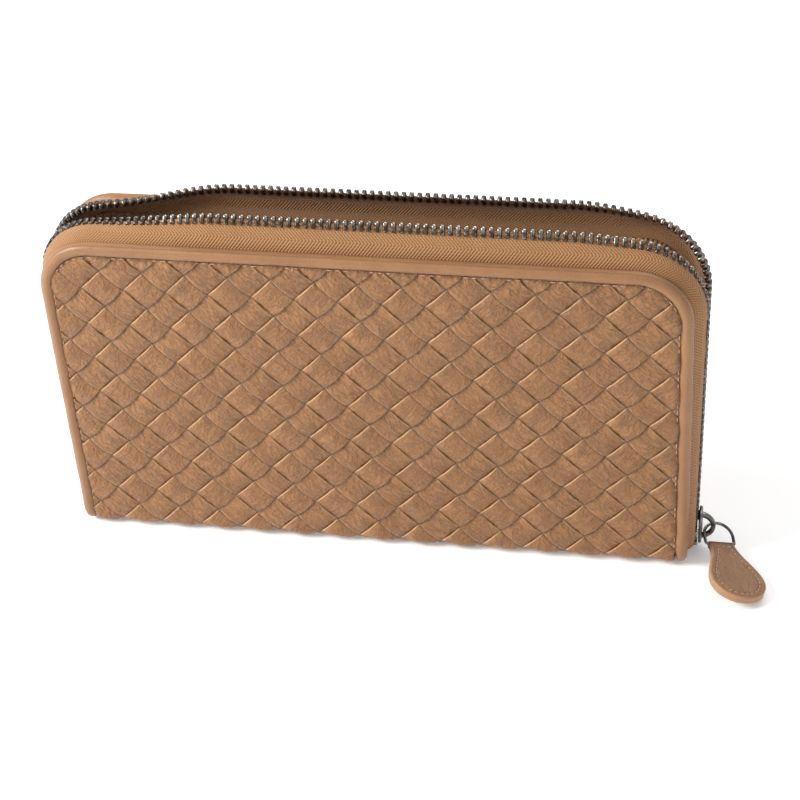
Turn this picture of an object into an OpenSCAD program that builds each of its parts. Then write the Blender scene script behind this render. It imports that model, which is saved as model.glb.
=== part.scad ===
// Zip around wallet, standing open on its spine.
// X runs along the spine, -Y is the front, +Z is up. The origin is the centre of the spine's underside.
// Each half is drawn upright, with its outer face on y = 0 and its inside towards +Y, then leaned on its fold.

/* [Wallet] */
// Width over the piping
wallet_w = 195; // [165:1:235]
// Height from the table to the outer edge of the top piping
wallet_h = 109.5; // [90:0.5:130]
// Width of the spine, which is the thickness of the closed wallet
spine_w = 24; // [22.5:0.5:34]
// Radius of the two top corners
corner_r = 17; // [13:0.5:24]
// Radius of the fold between the spine and a cover
fold_r = 4; // [3.2:0.1:5]
// Lean of each cover as the wallet stands open, in degrees
cover_lean = 2; // [1.5:0.25:6]

/* [Cover layers] */
// Thickness of the woven leather
woven_t = 1.6; // [1.2:0.1:2.2]
// Thickness of the stiffening board
board_t = 0.8; // [0.5:0.1:1.2]
// Thickness of the lining leather
lining_t = 0.8; // [0.5:0.1:1.2]
// Diameter of the piping
piping_d = 4; // [3:0.1:5]
// How far the piping stands proud of the woven face
piping_proud = 0.6; // [0.2:0.1:1]

/* [Main zip] */
// Thickness of the zip tape
tape_t = 0.6; // [0.4:0.1:0.9]
// Rise of the tooth tips over the top piping
top_row_rise = 8.4; // [6:0.1:11]
// Depth of the top row's tooth tips behind the woven face
top_row_depth = 8; // [6:0.1:9.5]
// Outward reach of the right side rows past the piping, at the top corner
side_row_out = 2.6; // [1.2:0.1:5]
// Outward reach of the left side rows past the piping, at the top corner
left_row_out = 1; // [0.8:0.1:3]
// Outward reach of the side rows past the piping, at their feet
foot_row_out = 1.2; // [1:0.1:3]
// How much nearer to each other the left rows come towards the top, where the zip holds the covers together
left_row_in = 1.8; // [0:0.1:2]
// Gap between the two side rows beside the slider
row_gap = 3; // [2.8:0.1:4]
// Pitch of the teeth
tooth_pitch = 2.36; // [1.8:0.02:3]
// Length of a tooth across the row
tooth_l = 3; // [2.2:0.1:3.6]
// Width of a tooth along the row
tooth_w = 1.5; // [1:0.05:1.7]
// Thickness of a tooth
tooth_t = 2.2; // [1.6:0.1:2.6]
// Height of the lowest tooth over the table
row_start = 5; // [4.5:0.5:8]

/* [Slider and pull] */
// Length of the slider along the rows
slider_l = 12; // [10:0.5:14]
// Height of the slider's middle over the table
slider_z = 7.5; // [7.5:0.5:12]
// Width of the slider's plates
slider_w = 8; // [7:0.5:10]
// Thickness of a slider plate
plate_t = 1; // [0.8:0.1:1.4]
// Thickness of the wedge between the rows
wedge_t = 1; // [0.8:0.1:1.2]
// Outer radius of the crown's arch
crown_r = 5; // [4.5:0.1:5.6]
// Width of the crown
crown_w = 1.6; // [1.2:0.1:1.8]
// Thickness of the crown's arch
crown_t = 1.5; // [1.2:0.1:1.8]
// Wire diameter of the D ring
wire_d = 1; // [0.8:0.05:1.1]
// Radius of the ring's arc, to the middle of the wire
ring_r = 4.8; // [4.4:0.1:5.2]
// Length of the ring's straight legs
ring_leg = 3; // [2.2:0.1:3.4]
// Length of the leather pull from the ring's bar to its round end
pull_l = 27; // [22:0.5:30]
// Width of the pull at its round end
pull_w = 17.5; // [14:0.5:19]
// Width of the pull at the ring
pull_neck_w = 8; // [6.4:0.1:8.2]
// Thickness of each of the pull's two leather layers
pull_layer_t = 1.3; // [1:0.1:1.6]

/* [Inside] */
// Thickness of the pocket leather
pocket_t = 0.6; // [0.4:0.05:0.7]
// Space between two pocket layers
pocket_gap = 0.15; // [0.1:0.05:0.25]
// Number of stepped card slots on each cover
card_rows = 4; // [4:1:4]
// Drop from the top of the wallet to the bill pocket's edge
bill_drop = 21.5; // [17:0.5:26]
// Drop from the bill pocket's edge to the top card slot's edge
card_drop = 6; // [4:0.5:8]
// Step from one card slot to the next
card_step = 8; // [6:0.5:9]
// Width left free at each side of the pockets
side_margin = 12; // [11:0.5:15]
// Thickness of a coin pocket wall
coin_wall_t = 0.9; // [0.6:0.1:1.1]
// Drop from the top of the wallet to the coin pocket's edge
coin_drop = 22.5; // [18:0.5:30]
// Gap between the rows of the coin pocket's zip
coin_row_gap = 1.8; // [1.6:0.1:2]
// Length of the coin zip's slider
coin_slider_l = 7; // [6:0.5:9]

/* [Hidden] */
$fn = 48;
eps = 0.05;            // lets cuts run past the face that they open
touch_gap = 0.05;      // between layers that are glued or sewn together
run_gap = 0.3;         // between parts that slide or swing past each other
inner_gap = 0.5;       // between a cover's pockets and the coin pocket
fold_gap = 0.2;        // between the fold leather and what it joins

panel_w = wallet_w - 2 * piping_d - 2 * touch_gap;
hinge_y = spine_w / 2 - fold_r;            // fold axis, in front of and behind the middle
hinge_z = fold_r;
board_y = woven_t + touch_gap;
lining_y = board_y + board_t + touch_gap;
cover_t = lining_y + lining_t;
bill_y = cover_t + pocket_gap;
stack_t = bill_y + pocket_t + card_rows * (pocket_t + pocket_gap);
pocket_w = wallet_w - 2 * side_margin;
bill_z = wallet_h - bill_drop;
card_top_z = bill_z - card_drop;
coin_h = wallet_h - coin_drop;
lean_at_slider = (slider_z - hinge_z) * sin(cover_lean);

// Depth of the side rows' tips that leaves row_gap between them beside the slider
side_row_depth = spine_w / 2 + lean_at_slider - row_gap / 2;

// Outline of a cover from the left foot over the top to the right foot, by distance along the tooth row
row_off = 4;                                          // the row's mean distance outside the piping
row_r = corner_r + row_off;
side_run = wallet_h - corner_r - row_start;
arc_run = row_r * PI / 2;
top_run = wallet_w - 2 * corner_r;
row_run = 2 * side_run + 2 * arc_run + top_run;
left_turn = [arc_run - 6, arc_run + 40];               // stretch over which the tape turns from square to
right_turn = [8, arc_run + 20];                       // the cover to upright, past the top of each side

function smooth(t) = let (c = min(1, max(0, t))) c * c * (3 - 2 * c);
// Half of the outline, from the left foot to the middle of the top: [x, z, normal x, normal z]
function half_outline(s, out) =
    s < side_run ? [-wallet_w / 2 - out, row_start + s, -1, 0] :
    s < side_run + arc_run ?
        let (a = 180 - (s - side_run) / row_r * 180 / PI)
        [-wallet_w / 2 + corner_r + (corner_r + out) * cos(a),
         wallet_h - corner_r + (corner_r + out) * sin(a), cos(a), sin(a)] :
    [-wallet_w / 2 + corner_r + s - side_run - arc_run, wallet_h + out, 0, 1];
function outline(s, out) =
    s <= row_run / 2 ? half_outline(s, out) :
    let (p = half_outline(row_run - s, out)) [-p[0], p[1], -p[2], p[3]];
// 1 where the tape stands square to the cover, 0 where it stands up along the top
function side_share(s) =
    let (h = min(s, row_run - s) - side_run, turn = s < row_run / 2 ? left_turn : right_turn)
    1 - smooth((h - turn[0]) / (turn[1] - turn[0]));
function between(a, b, t) = a + (b - a) * t;

// The tape's section as [outward, depth] pairs: sewn to the lining, behind the piping, emerging, belly,
// tooth root, tooth tip
sewn_y = cover_t + touch_gap + tape_t / 2;
tape_y = max(sewn_y, piping_d - piping_proud + touch_gap + tape_t / 2);
sewn = [-piping_d - 1.5, sewn_y];
behind = [-piping_d + 0.3, tape_y];
emerge = [-1.2, tape_y];
top_belly = [top_row_rise * 0.42, tape_y + (top_row_depth - tape_y) * 0.38];
top_tip = [top_row_rise, top_row_depth];
function climb(s) = min(1, min(s, row_run - s) / side_run);
function side_reach(s) = between(foot_row_out, s < row_run / 2 ? left_row_out : side_row_out, climb(s));
function side_depth(s) = side_row_depth + (s < row_run / 2 ? left_row_in * climb(s) : 0);
function side_belly(s) = [side_reach(s), tape_y + (side_depth(s) - tape_y) * 0.4];
function side_tip(s) = [side_reach(s), side_depth(s)];
function belly(s) = between(top_belly, side_belly(s), side_share(s));
function tip(s) = between(top_tip, side_tip(s), side_share(s));
row_x = wallet_w / 2 + side_reach(row_run - slider_z + row_start);   // the right side row, beside the slider
function row_dir(s) = let (d = tip(s) - belly(s)) d / norm(d);
function root(s) = tip(s) - row_dir(s) * tooth_l;
bite = 1;                                             // how far a tooth grips the tape
function spot(s, p) = let (o = outline(s, p[0])) [o[0], p[1], o[1]];

// Faces of a tube of rings, each of n points, with both ends closed
function skin(rings, n) = concat(
    [[for (i = [0 : n - 1]) i]],
    [for (j = [0 : rings - 2], i = [0 : n - 1])
        [j * n + i, (j + 1) * n + i, (j + 1) * n + (i + 1) % n, j * n + (i + 1) % n]],
    [[for (i = [0 : n - 1]) rings * n - 1 - i]]);

// Leans an upright half outward about its fold; the back half is its mirror image
module front() {
    translate([0, -hinge_y, hinge_z]) rotate([cover_lean, 0, 0])
        translate([0, hinge_y - spine_w / 2, -hinge_z]) children();
}
module back() { mirror([0, 1, 0]) front() children(); }

// A flat layer with round top corners, inset from the piping's outer edge
module layer(inset, y, t, foot_z) {
    r = max(1, corner_r - inset);
    w = wallet_w - 2 * inset;
    top = wallet_h - inset;
    translate([0, y + t, 0]) rotate([90, 0, 0]) linear_extrude(t) union() {
        translate([-w / 2, foot_z]) square([w, top - r - foot_z]);
        translate([-w / 2 + r, top - r - eps]) square([w - 2 * r, r + eps]);
        for (side = [-1, 1]) translate([side * (w / 2 - r), top - r]) circle(r);
    }
}
module slab(w, y, t, z0, z1) { translate([-w / 2, y, z0]) cube([w, t, z1 - z0]); }

// ---------- what each cover is made of ----------
module woven_panel() { layer(piping_d + touch_gap, 0, woven_t, fold_r + fold_gap); }
module cover_board() { layer(piping_d + touch_gap + 0.5, board_y, board_t, fold_r + 3); }
module cover_lining() { layer(piping_d + touch_gap, lining_y, lining_t, fold_r + 1); }

module cover_piping() {
    r = piping_d / 2;
    in = corner_r - r;
    y = r - piping_proud;
    foot = 3;
    for (side = [-1, 1]) {
        translate([side * (wallet_w / 2 - r), y, foot]) cylinder(h = wallet_h - corner_r - foot, r = r);
        translate([side * (wallet_w / 2 - corner_r), y, wallet_h - corner_r])
            rotate([90, 0, 0]) rotate([0, 0, side > 0 ? 0 : 90])
                rotate_extrude(angle = 90) translate([in, 0]) circle(r);
    }
    translate([-(wallet_w / 2 - corner_r), y, wallet_h - r]) rotate([0, 90, 0])
        cylinder(h = wallet_w - 2 * corner_r, r = r);
}

// Stations along the tape: few on the straights, close together where it turns
side_steps = 4;
turn_steps = 20;
function stations() = let (
    foot = -1.5,
    a = side_run - 2,
    half = function(turn) let (b = side_run + turn[1]) concat(
        [for (i = [0 : side_steps - 1]) foot + (a - foot) * i / side_steps],
        [for (i = [0 : turn_steps]) a + (b - a) * i / turn_steps]),
    right = half(right_turn))
    concat(half(left_turn), [row_run / 2], [for (i = [len(right) - 1 : -1 : 0]) row_run - right[i]]);

module zip_tape() {
    at = stations();
    line = function(s) [sewn, behind, emerge, belly(s), root(s) + row_dir(s) * bite];
    last = 4;
    across = function(p, q) let (d = (q - p) / norm(q - p)) [-d[1], d[0]] * tape_t / 2;
    side_of = function(s, k) let (l = line(s)) [for (i = [0 : last])
        l[i] + k * across(l[max(0, i - 1)], l[min(last, i + 1)])];
    ring = function(s) concat([for (p = side_of(s, 1)) spot(s, p)],
                              [for (i = [last : -1 : 0]) spot(s, side_of(s, -1)[i])]);
    polyhedron([for (s = at) each ring(s)], skin(len(at), 2 * last + 2), convexity = 6);
}

tooth_count = floor(row_run / tooth_pitch);
// Carries a tooth from its own axes, along the row, root to tip, and through, to its place at s
module at_tooth(s) {
    o = outline(s, 0);
    d = row_dir(s);
    along = [o[3], 0, -o[2]];
    up = [o[2] * d[0], d[1], o[3] * d[0]];
    thru = cross(along, up);
    p = spot(s, tip(s));
    multmatrix([[along[0], up[0], thru[0], p[0]], [along[1], up[1], thru[1], p[1]],
                [along[2], up[2], thru[2], p[2]], [0, 0, 0, 1]]) children();
}
module tooth() { translate([-tooth_w / 2, -tooth_l, -tooth_t / 2]) cube([tooth_w, tooth_l, tooth_t]); }
module zip_teeth() {
    for (i = [2 : tooth_count - 2]) at_tooth((i + 0.5) * row_run / tooth_count) tooth();
}
module row_stop() {
    stop_l = 2.4;
    at_tooth(0) translate([-stop_l / 2, -tooth_l, -tooth_t / 2]) cube([stop_l, tooth_l, tooth_t]);
}

module bill_pocket() { slab(pocket_w, bill_y, pocket_t, fold_r + 5, bill_z); }
// One row of card slots; row 1 is the lowest and lies furthest inside
module card_slot(row) {
    y = bill_y + pocket_t + (card_rows - row) * (pocket_t + pocket_gap) + pocket_gap;
    slab(pocket_w - 2, y, pocket_t, fold_r + 6, card_top_z - (card_rows - row) * card_step);
}

// ---------- spine and coin pocket ----------
spine_flat = 2 * hinge_y - 2 * fold_gap;
module spine_leather() color("burlywood")
    translate([-panel_w / 2, -spine_flat / 2, 0]) cube([panel_w, spine_flat, woven_t]);
module spine_lining() color("peru")
    translate([-panel_w / 2 + 1, -spine_flat / 2, woven_t]) cube([panel_w - 2, spine_flat, lining_t]);

// Quarter round of woven leather between the spine and a cover
module fold_leather() color("burlywood") {
    translate([-panel_w / 2, -hinge_y, hinge_z]) rotate([0, 90, 0]) rotate([0, 0, -90])
        rotate_extrude(angle = 90 - fold_gap / fold_r * 57)
            translate([fold_r - woven_t, 0]) square([woven_t, panel_w]);
}

coin_half = spine_w / 2 - stack_t - inner_gap;
coin_w = pocket_w - 6;
coin_foot = woven_t + lining_t + touch_gap;
coin_in = coin_half - coin_wall_t;
module coin_wall() translate([-coin_w / 2, -coin_half, coin_foot + coin_wall_t])
    cube([coin_w, coin_wall_t, coin_h - coin_foot - coin_wall_t]);
module coin_floor() translate([-coin_w / 2, -coin_half, coin_foot])
    cube([coin_w, 2 * coin_half, coin_wall_t - touch_gap]);
module coin_side(side) translate([side * (coin_w / 2 - coin_wall_t / 2) - coin_wall_t / 2,
    -coin_in + touch_gap, coin_foot + coin_wall_t])
    cube([coin_wall_t, 2 * coin_in - 2 * touch_gap, coin_h - coin_foot - coin_wall_t]);

// Coin zip: its rows lie flat across the pocket's mouth
coin_tape_t = 0.5;
coin_tape_z = coin_h - 2.5;
coin_tooth_l = 1.4;
coin_tooth_w = 1;
coin_tooth_t = 1.4;
coin_tooth_pitch = 2;
coin_zip_w = coin_w - 2 * coin_wall_t - 2;
coin_root = coin_row_gap / 2 + coin_tooth_l;
module coin_tape() translate([-coin_zip_w / 2, -coin_in + touch_gap, coin_tape_z - coin_tape_t / 2])
    cube([coin_zip_w, coin_in - touch_gap - coin_root, coin_tape_t]);
module coin_teeth(shift) {
    n = floor((coin_zip_w - 8) / coin_tooth_pitch);
    for (i = [0 : n - 1])
        translate([(i - (n - 1) / 2) * coin_tooth_pitch + shift - coin_tooth_w / 2,
                   -coin_root, coin_tape_z - coin_tooth_t / 2])
            cube([coin_tooth_w, coin_tooth_l, coin_tooth_t]);
}
module coin_stops() for (side = [-1, 1])
    translate([side * (coin_zip_w / 2 - 1.2) - 1, -coin_root + touch_gap, coin_tape_z - coin_tooth_t / 2])
        cube([2, 2 * coin_root - 2 * touch_gap, coin_tooth_t]);

// Coin slider: two plates joined by a thin wedge that runs between the rows
coin_slider_w = 5;
coin_slider_x = coin_zip_w / 2 - coin_slider_l / 2 - 3;
coin_wedge_t = coin_row_gap - 2 * run_gap;
coin_plate_z = coin_tooth_t / 2 + run_gap;
coin_lug_r = 1.6;
coin_pin_r = 0.5;
coin_pin_z = coin_tape_z + coin_plate_z + plate_t + coin_lug_r - 0.4;
module coin_zip_slider() color("dimgray") {
    translate([coin_slider_x, 0, coin_tape_z]) {
        for (side = [-1, 1])
            translate([-coin_slider_l / 2, -coin_slider_w / 2,
                       side * (coin_plate_z + plate_t / 2) - plate_t / 2])
                cube([coin_slider_l, coin_slider_w, plate_t]);
        translate([-coin_slider_l / 2, -coin_wedge_t / 2, -coin_plate_z - eps])
            cube([2.5, coin_wedge_t, 2 * coin_plate_z + 2 * eps]);
    }
    // Two ears with a pin between them for the pull
    for (side = [-1, 1]) translate([coin_slider_x, side * 1.2, coin_pin_z]) rotate([90, 0, 0])
        cylinder(h = 0.7, r = coin_lug_r, center = true);
    translate([coin_slider_x, 0, coin_pin_z]) rotate([90, 0, 0])
        cylinder(h = 2.6, r = coin_pin_r, center = true);
}
coin_pull_l = 16;
coin_pull_w = 1.4;
coin_hub_r = coin_lug_r - 0.4 - 0.2;
module coin_zip_pull() color("dimgray")
    translate([coin_slider_x, 0, coin_pin_z]) rotate([90, 0, 0]) difference() {
        union() {
            cylinder(h = coin_pull_w, r = coin_hub_r, center = true);
            translate([-coin_pull_l, -0.4, -coin_pull_w / 2]) cube([coin_pull_l, 1.3, coin_pull_w]);
        }
        cylinder(h = coin_pull_w + 1, r = coin_pin_r + 0.08, center = true);
    }

// Accordion side of a compartment: one outward fold between a cover's lining and the coin pocket
gusset_t = 0.6;
gusset_out = 3;
gusset_foot = fold_r + 5;
gusset_top = bill_z - 2;
function lean_y(y, z) = -hinge_y + (y - fold_r) * cos(cover_lean) - (z - hinge_z) * sin(cover_lean);
module gusset(side) {
    x = pocket_w / 2 + 0.4;
    section = function(z) let (
        a = lean_y(cover_t, z) + pocket_gap, b = -coin_half, m = (a + b) / 2)
        [[x, a, z], [x + gusset_out, m, z], [x, b, z],
         [x + gusset_t, b, z], [x + gusset_out + gusset_t, m, z], [x + gusset_t, a, z]];
    mirror([side < 0 ? 1 : 0, 0, 0]) polyhedron(
        concat(section(gusset_foot), section(gusset_top)),
        concat([[0, 1, 4, 5], [1, 2, 3, 4]], [[6, 11, 10, 7], [7, 10, 9, 8]],
               [for (i = [0 : 5]) [i, i + 6, (i + 1) % 6 + 6, (i + 1) % 6]]), convexity = 4);
}

// Metal stop that joins the two rows' lower ends under the slider
stop_h = 1.6;
module zip_bottom_stop() color("dimgray")
    translate([row_x - tooth_t / 2, -row_gap / 2 - tooth_l / 2, row_start - 3.4])
        cube([tooth_t, row_gap + tooth_l, stop_h]);

// ---------- slider, ring and pull at the foot of the right side rows ----------
plate_in = tooth_t / 2 + run_gap;
module zip_slider_body() color("dimgray") translate([row_x, 0, slider_z]) {
    for (side = [-1, 1])
        translate([side * (plate_in + plate_t / 2) - plate_t / 2, -slider_w / 2, -slider_l / 2])
            cube([plate_t, slider_w, slider_l]);
    translate([-plate_in - eps, -wedge_t / 2, slider_l / 2 - 4])
        cube([2 * plate_in + 2 * eps, wedge_t, 4]);
}
crown_x = row_x + plate_in + plate_t;
crown_in = 0.8;                 // how far the arch's centre lies inside the plate's face
module zip_slider_crown() color("dimgray")
    translate([crown_x, crown_w / 2, slider_z]) rotate([90, 0, 0]) linear_extrude(crown_w)
        difference() {
            intersection() {
                translate([-crown_in, 0]) circle(crown_r);
                translate([0, -crown_r]) square([crown_r, 2 * crown_r]);
            }
            intersection() {
                translate([-crown_in, 0]) circle(crown_r - crown_t);
                translate([0, -crown_r]) square([crown_r, 2 * crown_r]);
            }
        }

// The ring hangs through the crown by the side of its arc; its bar lies across the pull's fold. Both are
// set out from the bar: along it, level away from it, and square to those two, downward.
ring_turn = 70;                 // from +Y towards +X, to the bar's direction
bar_tilt = 16;                  // how far the bar's right end hangs lower
ring_dip = 20;                  // slope of the ring from the crown down to the bar
ring_hang = 48;                 // where on the arc the crown holds the ring
ring_hole = [crown_x + (crown_r - crown_t - crown_in) * 0.5, 0, slider_z - 0.6];
bar_dir = [sin(ring_turn) * cos(bar_tilt), cos(ring_turn) * cos(bar_tilt), -sin(bar_tilt)];
level_dir = [cos(ring_turn), -sin(ring_turn), 0];
under_dir = cross(bar_dir, level_dir);
down_dir = level_dir * cos(ring_dip) + under_dir * sin(ring_dip);
ring_mid = ring_hole + ring_r * sin(ring_hang) * bar_dir + ring_r * cos(ring_hang) * down_dir;
bar_mid = ring_mid + ring_leg * down_dir;
// Local axes of a flat thing that lies in the plane of the bar and a second direction
module lie(p, x, y) {
    z = cross(x, y);
    multmatrix([[x[0], y[0], z[0], p[0]], [x[1], y[1], z[1], p[1]], [x[2], y[2], z[2], p[2]],
                [0, 0, 0, 1]]) children();
}
module pull_ring() color("dimgray") lie(ring_mid, bar_dir, down_dir) {
    rotate([0, 0, 180]) rotate_extrude(angle = 180) translate([ring_r, 0]) circle(wire_d / 2);
    for (side = [-1, 1]) {
        translate([side * ring_r, 0, 0]) rotate([-90, 0, 0]) cylinder(h = ring_leg, r = wire_d / 2);
        translate([side * ring_r, ring_leg, 0]) sphere(wire_d / 2);
    }
    translate([-ring_r, ring_leg, 0]) rotate([0, 90, 0]) cylinder(h = 2 * ring_r, r = wire_d / 2);
}

// The pull: one leather strip folded round the bar and sewn to a back layer
pull_clear = bar_mid[2] - pull_layer_t - pull_w / 2 * sin(bar_tilt);    // from the pull to the table
pull_dip = asin(max(0, pull_clear) / pull_l);
pull_dir = level_dir * cos(pull_dip) + under_dir * sin(pull_dip);
bar_gap = 0.08;                 // between the bar and the leather round it
loop_r = wire_d / 2 + bar_gap;
loop_out = loop_r + 0.8;
pull_end_r = pull_w / 2;
module pull_outline() {
    // A neck that flares into the round end
    steps = 8;
    start = loop_out;
    end = pull_l - pull_end_r;
    flare = [for (i = [0 : steps]) let (t = i / steps)
        [pull_neck_w / 2 + (pull_end_r - pull_neck_w / 2) * smooth(t), start + (end - start) * t]];
    polygon(concat(flare, [for (i = [steps : -1 : 0]) [-flare[i][0], flare[i][1]]]));
    translate([0, end]) circle(pull_end_r);
}
module pull_tab_face() color("tan") lie(bar_mid, bar_dir, pull_dir) {
    translate([0, 0, -pull_layer_t]) linear_extrude(pull_layer_t - touch_gap) pull_outline();
    difference() {
        union() {
            rotate([0, 90, 0]) cylinder(h = pull_neck_w, r = loop_out, center = true);
            translate([-pull_neck_w / 2, 0, -loop_out]) cube([pull_neck_w, loop_out + 1, loop_out - touch_gap]);
        }
        rotate([0, 90, 0]) cylinder(h = pull_neck_w + 1, r = loop_r, center = true);
    }
}
module pull_tab_back() color("tan") lie(bar_mid, bar_dir, pull_dir)
    linear_extrude(pull_layer_t) difference() {
        pull_outline();
        translate([-pull_w / 2, -1]) square([pull_w, 1 + loop_out + touch_gap]);
    }

NODES = [
    "spine_leather", "spine_lining", "front_fold_leather", "back_fold_leather",
    "coin_front_wall", "coin_back_wall", "coin_floor", "coin_left_side", "coin_right_side",
    "coin_front_tape", "coin_back_tape", "coin_front_teeth", "coin_back_teeth", "coin_zip_stops",
    "coin_zip_slider", "coin_zip_pull",
    "front_left_gusset", "front_right_gusset", "back_left_gusset", "back_right_gusset",
    "zip_bottom_stop",
    "front_woven_panel", "front_board", "front_lining", "front_piping", "front_zip_tape",
    "front_zip_teeth", "front_zip_stop", "front_bill_pocket",
    "front_card_slot_1", "front_card_slot_2", "front_card_slot_3", "front_card_slot_4",
    "back_woven_panel", "back_board", "back_lining", "back_piping", "back_zip_tape",
    "back_zip_teeth", "back_zip_stop", "back_bill_pocket",
    "back_card_slot_1", "back_card_slot_2", "back_card_slot_3", "back_card_slot_4",
    "zip_slider_body", "zip_slider_crown", "pull_ring", "pull_tab_face", "pull_tab_back",
];
node = "all";
function on(name) = node == "all" || node == name;

if (on("spine_leather")) spine_leather();
if (on("spine_lining")) spine_lining();
if (on("front_fold_leather")) fold_leather();
if (on("back_fold_leather")) mirror([0, 1, 0]) fold_leather();
if (on("coin_front_wall")) color("sienna") coin_wall();
if (on("coin_back_wall")) color("sienna") mirror([0, 1, 0]) coin_wall();
if (on("coin_floor")) color("sienna") coin_floor();
if (on("coin_left_side")) color("sienna") coin_side(-1);
if (on("coin_right_side")) color("sienna") coin_side(1);
if (on("coin_front_tape")) color("tan") coin_tape();
if (on("coin_back_tape")) color("tan") mirror([0, 1, 0]) coin_tape();
if (on("coin_front_teeth")) color("gray") coin_teeth(0);
if (on("coin_back_teeth")) color("gray") mirror([0, 1, 0]) coin_teeth(coin_tooth_pitch / 2);
if (on("coin_zip_stops")) color("gray") coin_stops();
if (on("coin_zip_slider")) coin_zip_slider();
if (on("coin_zip_pull")) coin_zip_pull();
if (on("front_left_gusset")) color("sienna") gusset(-1);
if (on("front_right_gusset")) color("sienna") gusset(1);
if (on("back_left_gusset")) color("sienna") mirror([0, 1, 0]) gusset(-1);
if (on("back_right_gusset")) color("sienna") mirror([0, 1, 0]) gusset(1);
if (on("zip_bottom_stop")) zip_bottom_stop();
if (on("front_woven_panel")) color("burlywood") front() woven_panel();
if (on("front_board")) color("linen") front() cover_board();
if (on("front_lining")) color("peru") front() cover_lining();
if (on("front_piping")) color("chocolate") front() cover_piping();
if (on("front_zip_tape")) color("tan") front() zip_tape();
if (on("front_zip_teeth")) color("gray") front() zip_teeth();
if (on("front_zip_stop")) color("gray") front() row_stop();
if (on("front_bill_pocket")) color("peru") front() bill_pocket();
if (on("front_card_slot_1")) color("peru") front() card_slot(1);
if (on("front_card_slot_2")) color("peru") front() card_slot(2);
if (on("front_card_slot_3")) color("peru") front() card_slot(3);
if (on("front_card_slot_4")) color("peru") front() card_slot(4);
if (on("back_woven_panel")) color("burlywood") back() woven_panel();
if (on("back_board")) color("linen") back() cover_board();
if (on("back_lining")) color("peru") back() cover_lining();
if (on("back_piping")) color("chocolate") back() cover_piping();
if (on("back_zip_tape")) color("tan") back() zip_tape();
if (on("back_zip_teeth")) color("gray") back() zip_teeth();
if (on("back_zip_stop")) color("gray") back() row_stop();
if (on("back_bill_pocket")) color("peru") back() bill_pocket();
if (on("back_card_slot_1")) color("peru") back() card_slot(1);
if (on("back_card_slot_2")) color("peru") back() card_slot(2);
if (on("back_card_slot_3")) color("peru") back() card_slot(3);
if (on("back_card_slot_4")) color("peru") back() card_slot(4);
if (on("zip_slider_body")) zip_slider_body();
if (on("zip_slider_crown")) zip_slider_crown();
if (on("pull_ring")) pull_ring();
if (on("pull_tab_face")) pull_tab_face();
if (on("pull_tab_back")) pull_tab_back();
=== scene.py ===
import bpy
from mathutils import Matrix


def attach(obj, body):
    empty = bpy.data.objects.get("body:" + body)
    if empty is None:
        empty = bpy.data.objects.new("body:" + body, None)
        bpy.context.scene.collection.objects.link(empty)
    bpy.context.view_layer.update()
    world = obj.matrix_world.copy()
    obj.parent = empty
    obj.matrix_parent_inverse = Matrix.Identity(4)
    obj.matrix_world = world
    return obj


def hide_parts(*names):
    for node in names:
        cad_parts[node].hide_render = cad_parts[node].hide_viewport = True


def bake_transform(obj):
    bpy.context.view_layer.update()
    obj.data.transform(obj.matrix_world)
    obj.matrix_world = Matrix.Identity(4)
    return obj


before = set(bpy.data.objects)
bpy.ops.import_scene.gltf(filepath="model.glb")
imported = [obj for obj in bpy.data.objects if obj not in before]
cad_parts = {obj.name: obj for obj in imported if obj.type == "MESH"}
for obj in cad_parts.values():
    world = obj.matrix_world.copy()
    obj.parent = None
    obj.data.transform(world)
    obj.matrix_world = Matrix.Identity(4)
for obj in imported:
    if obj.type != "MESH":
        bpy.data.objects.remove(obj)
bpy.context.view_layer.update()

import math
import bpy
from mathutils import Matrix, Vector, noise

# ---------------------------------------------------------------------------------------------------------
# The table, the light and the camera.
# The wallet stands on a plain white table top, which gives off a little light of its own. A soft light
# comes from the upper left, with a weak fill from the right and another from behind, and the wallet is seen
# from a little to its right and well above.
# ---------------------------------------------------------------------------------------------------------
studio = bpy.context.scene
studio.view_settings.view_transform = "Standard"

aim = Vector((0.01038, -0.014, 0.05906))
azimuth, elevation, roll = (math.radians(a) for a in (12.54, 36.16, 3.81))
turned = (Matrix.Rotation(azimuth, 4, "Z") @ Matrix.Rotation(math.pi / 2 - elevation, 4, "X")
          @ Matrix.Rotation(-roll, 4, "Z"))
eye = bpy.data.cameras.new("camera")
eye.sensor_width = 36
eye.lens = 96.98
eye.clip_start = 0.01
camera = bpy.data.objects.new("camera", eye)
camera.matrix_world = Matrix.Translation(aim) @ turned @ Matrix.Translation((0, 0, 0.64796))
studio.collection.objects.link(camera)
studio.camera = camera


def soft_light(name, place, width, depth, watts, colour):
    """A broad panel of light that faces the middle of the wallet."""
    lamp = bpy.data.lights.new(name, "AREA")
    lamp.shape = "RECTANGLE"
    lamp.size, lamp.size_y = width, depth
    lamp.energy = watts
    lamp.color = colour
    holder = bpy.data.objects.new(name, lamp)
    holder.location = place
    holder.rotation_euler = (Vector((0, 0, 0.05)) - Vector(place)).to_track_quat("-Z", "Y").to_euler()
    studio.collection.objects.link(holder)


soft_light("key_light", (-0.72, -0.30, 0.62), 0.42, 0.34, 12, (1.0, 0.985, 0.96))
soft_light("fill_light", (0.95, -0.9, 0.55), 0.8, 0.8, 2.2, (0.96, 0.98, 1.0))
soft_light("back_light", (0.15, 0.85, 0.95), 1.0, 0.6, 7, (1.0, 1.0, 1.0))
sky = bpy.data.worlds.new("studio")
sky.use_nodes = True
sky.node_tree.nodes["Background"].inputs["Color"].default_value = (1, 1, 1, 1)
sky.node_tree.nodes["Background"].inputs["Strength"].default_value = 0.55
studio.world = sky


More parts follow.
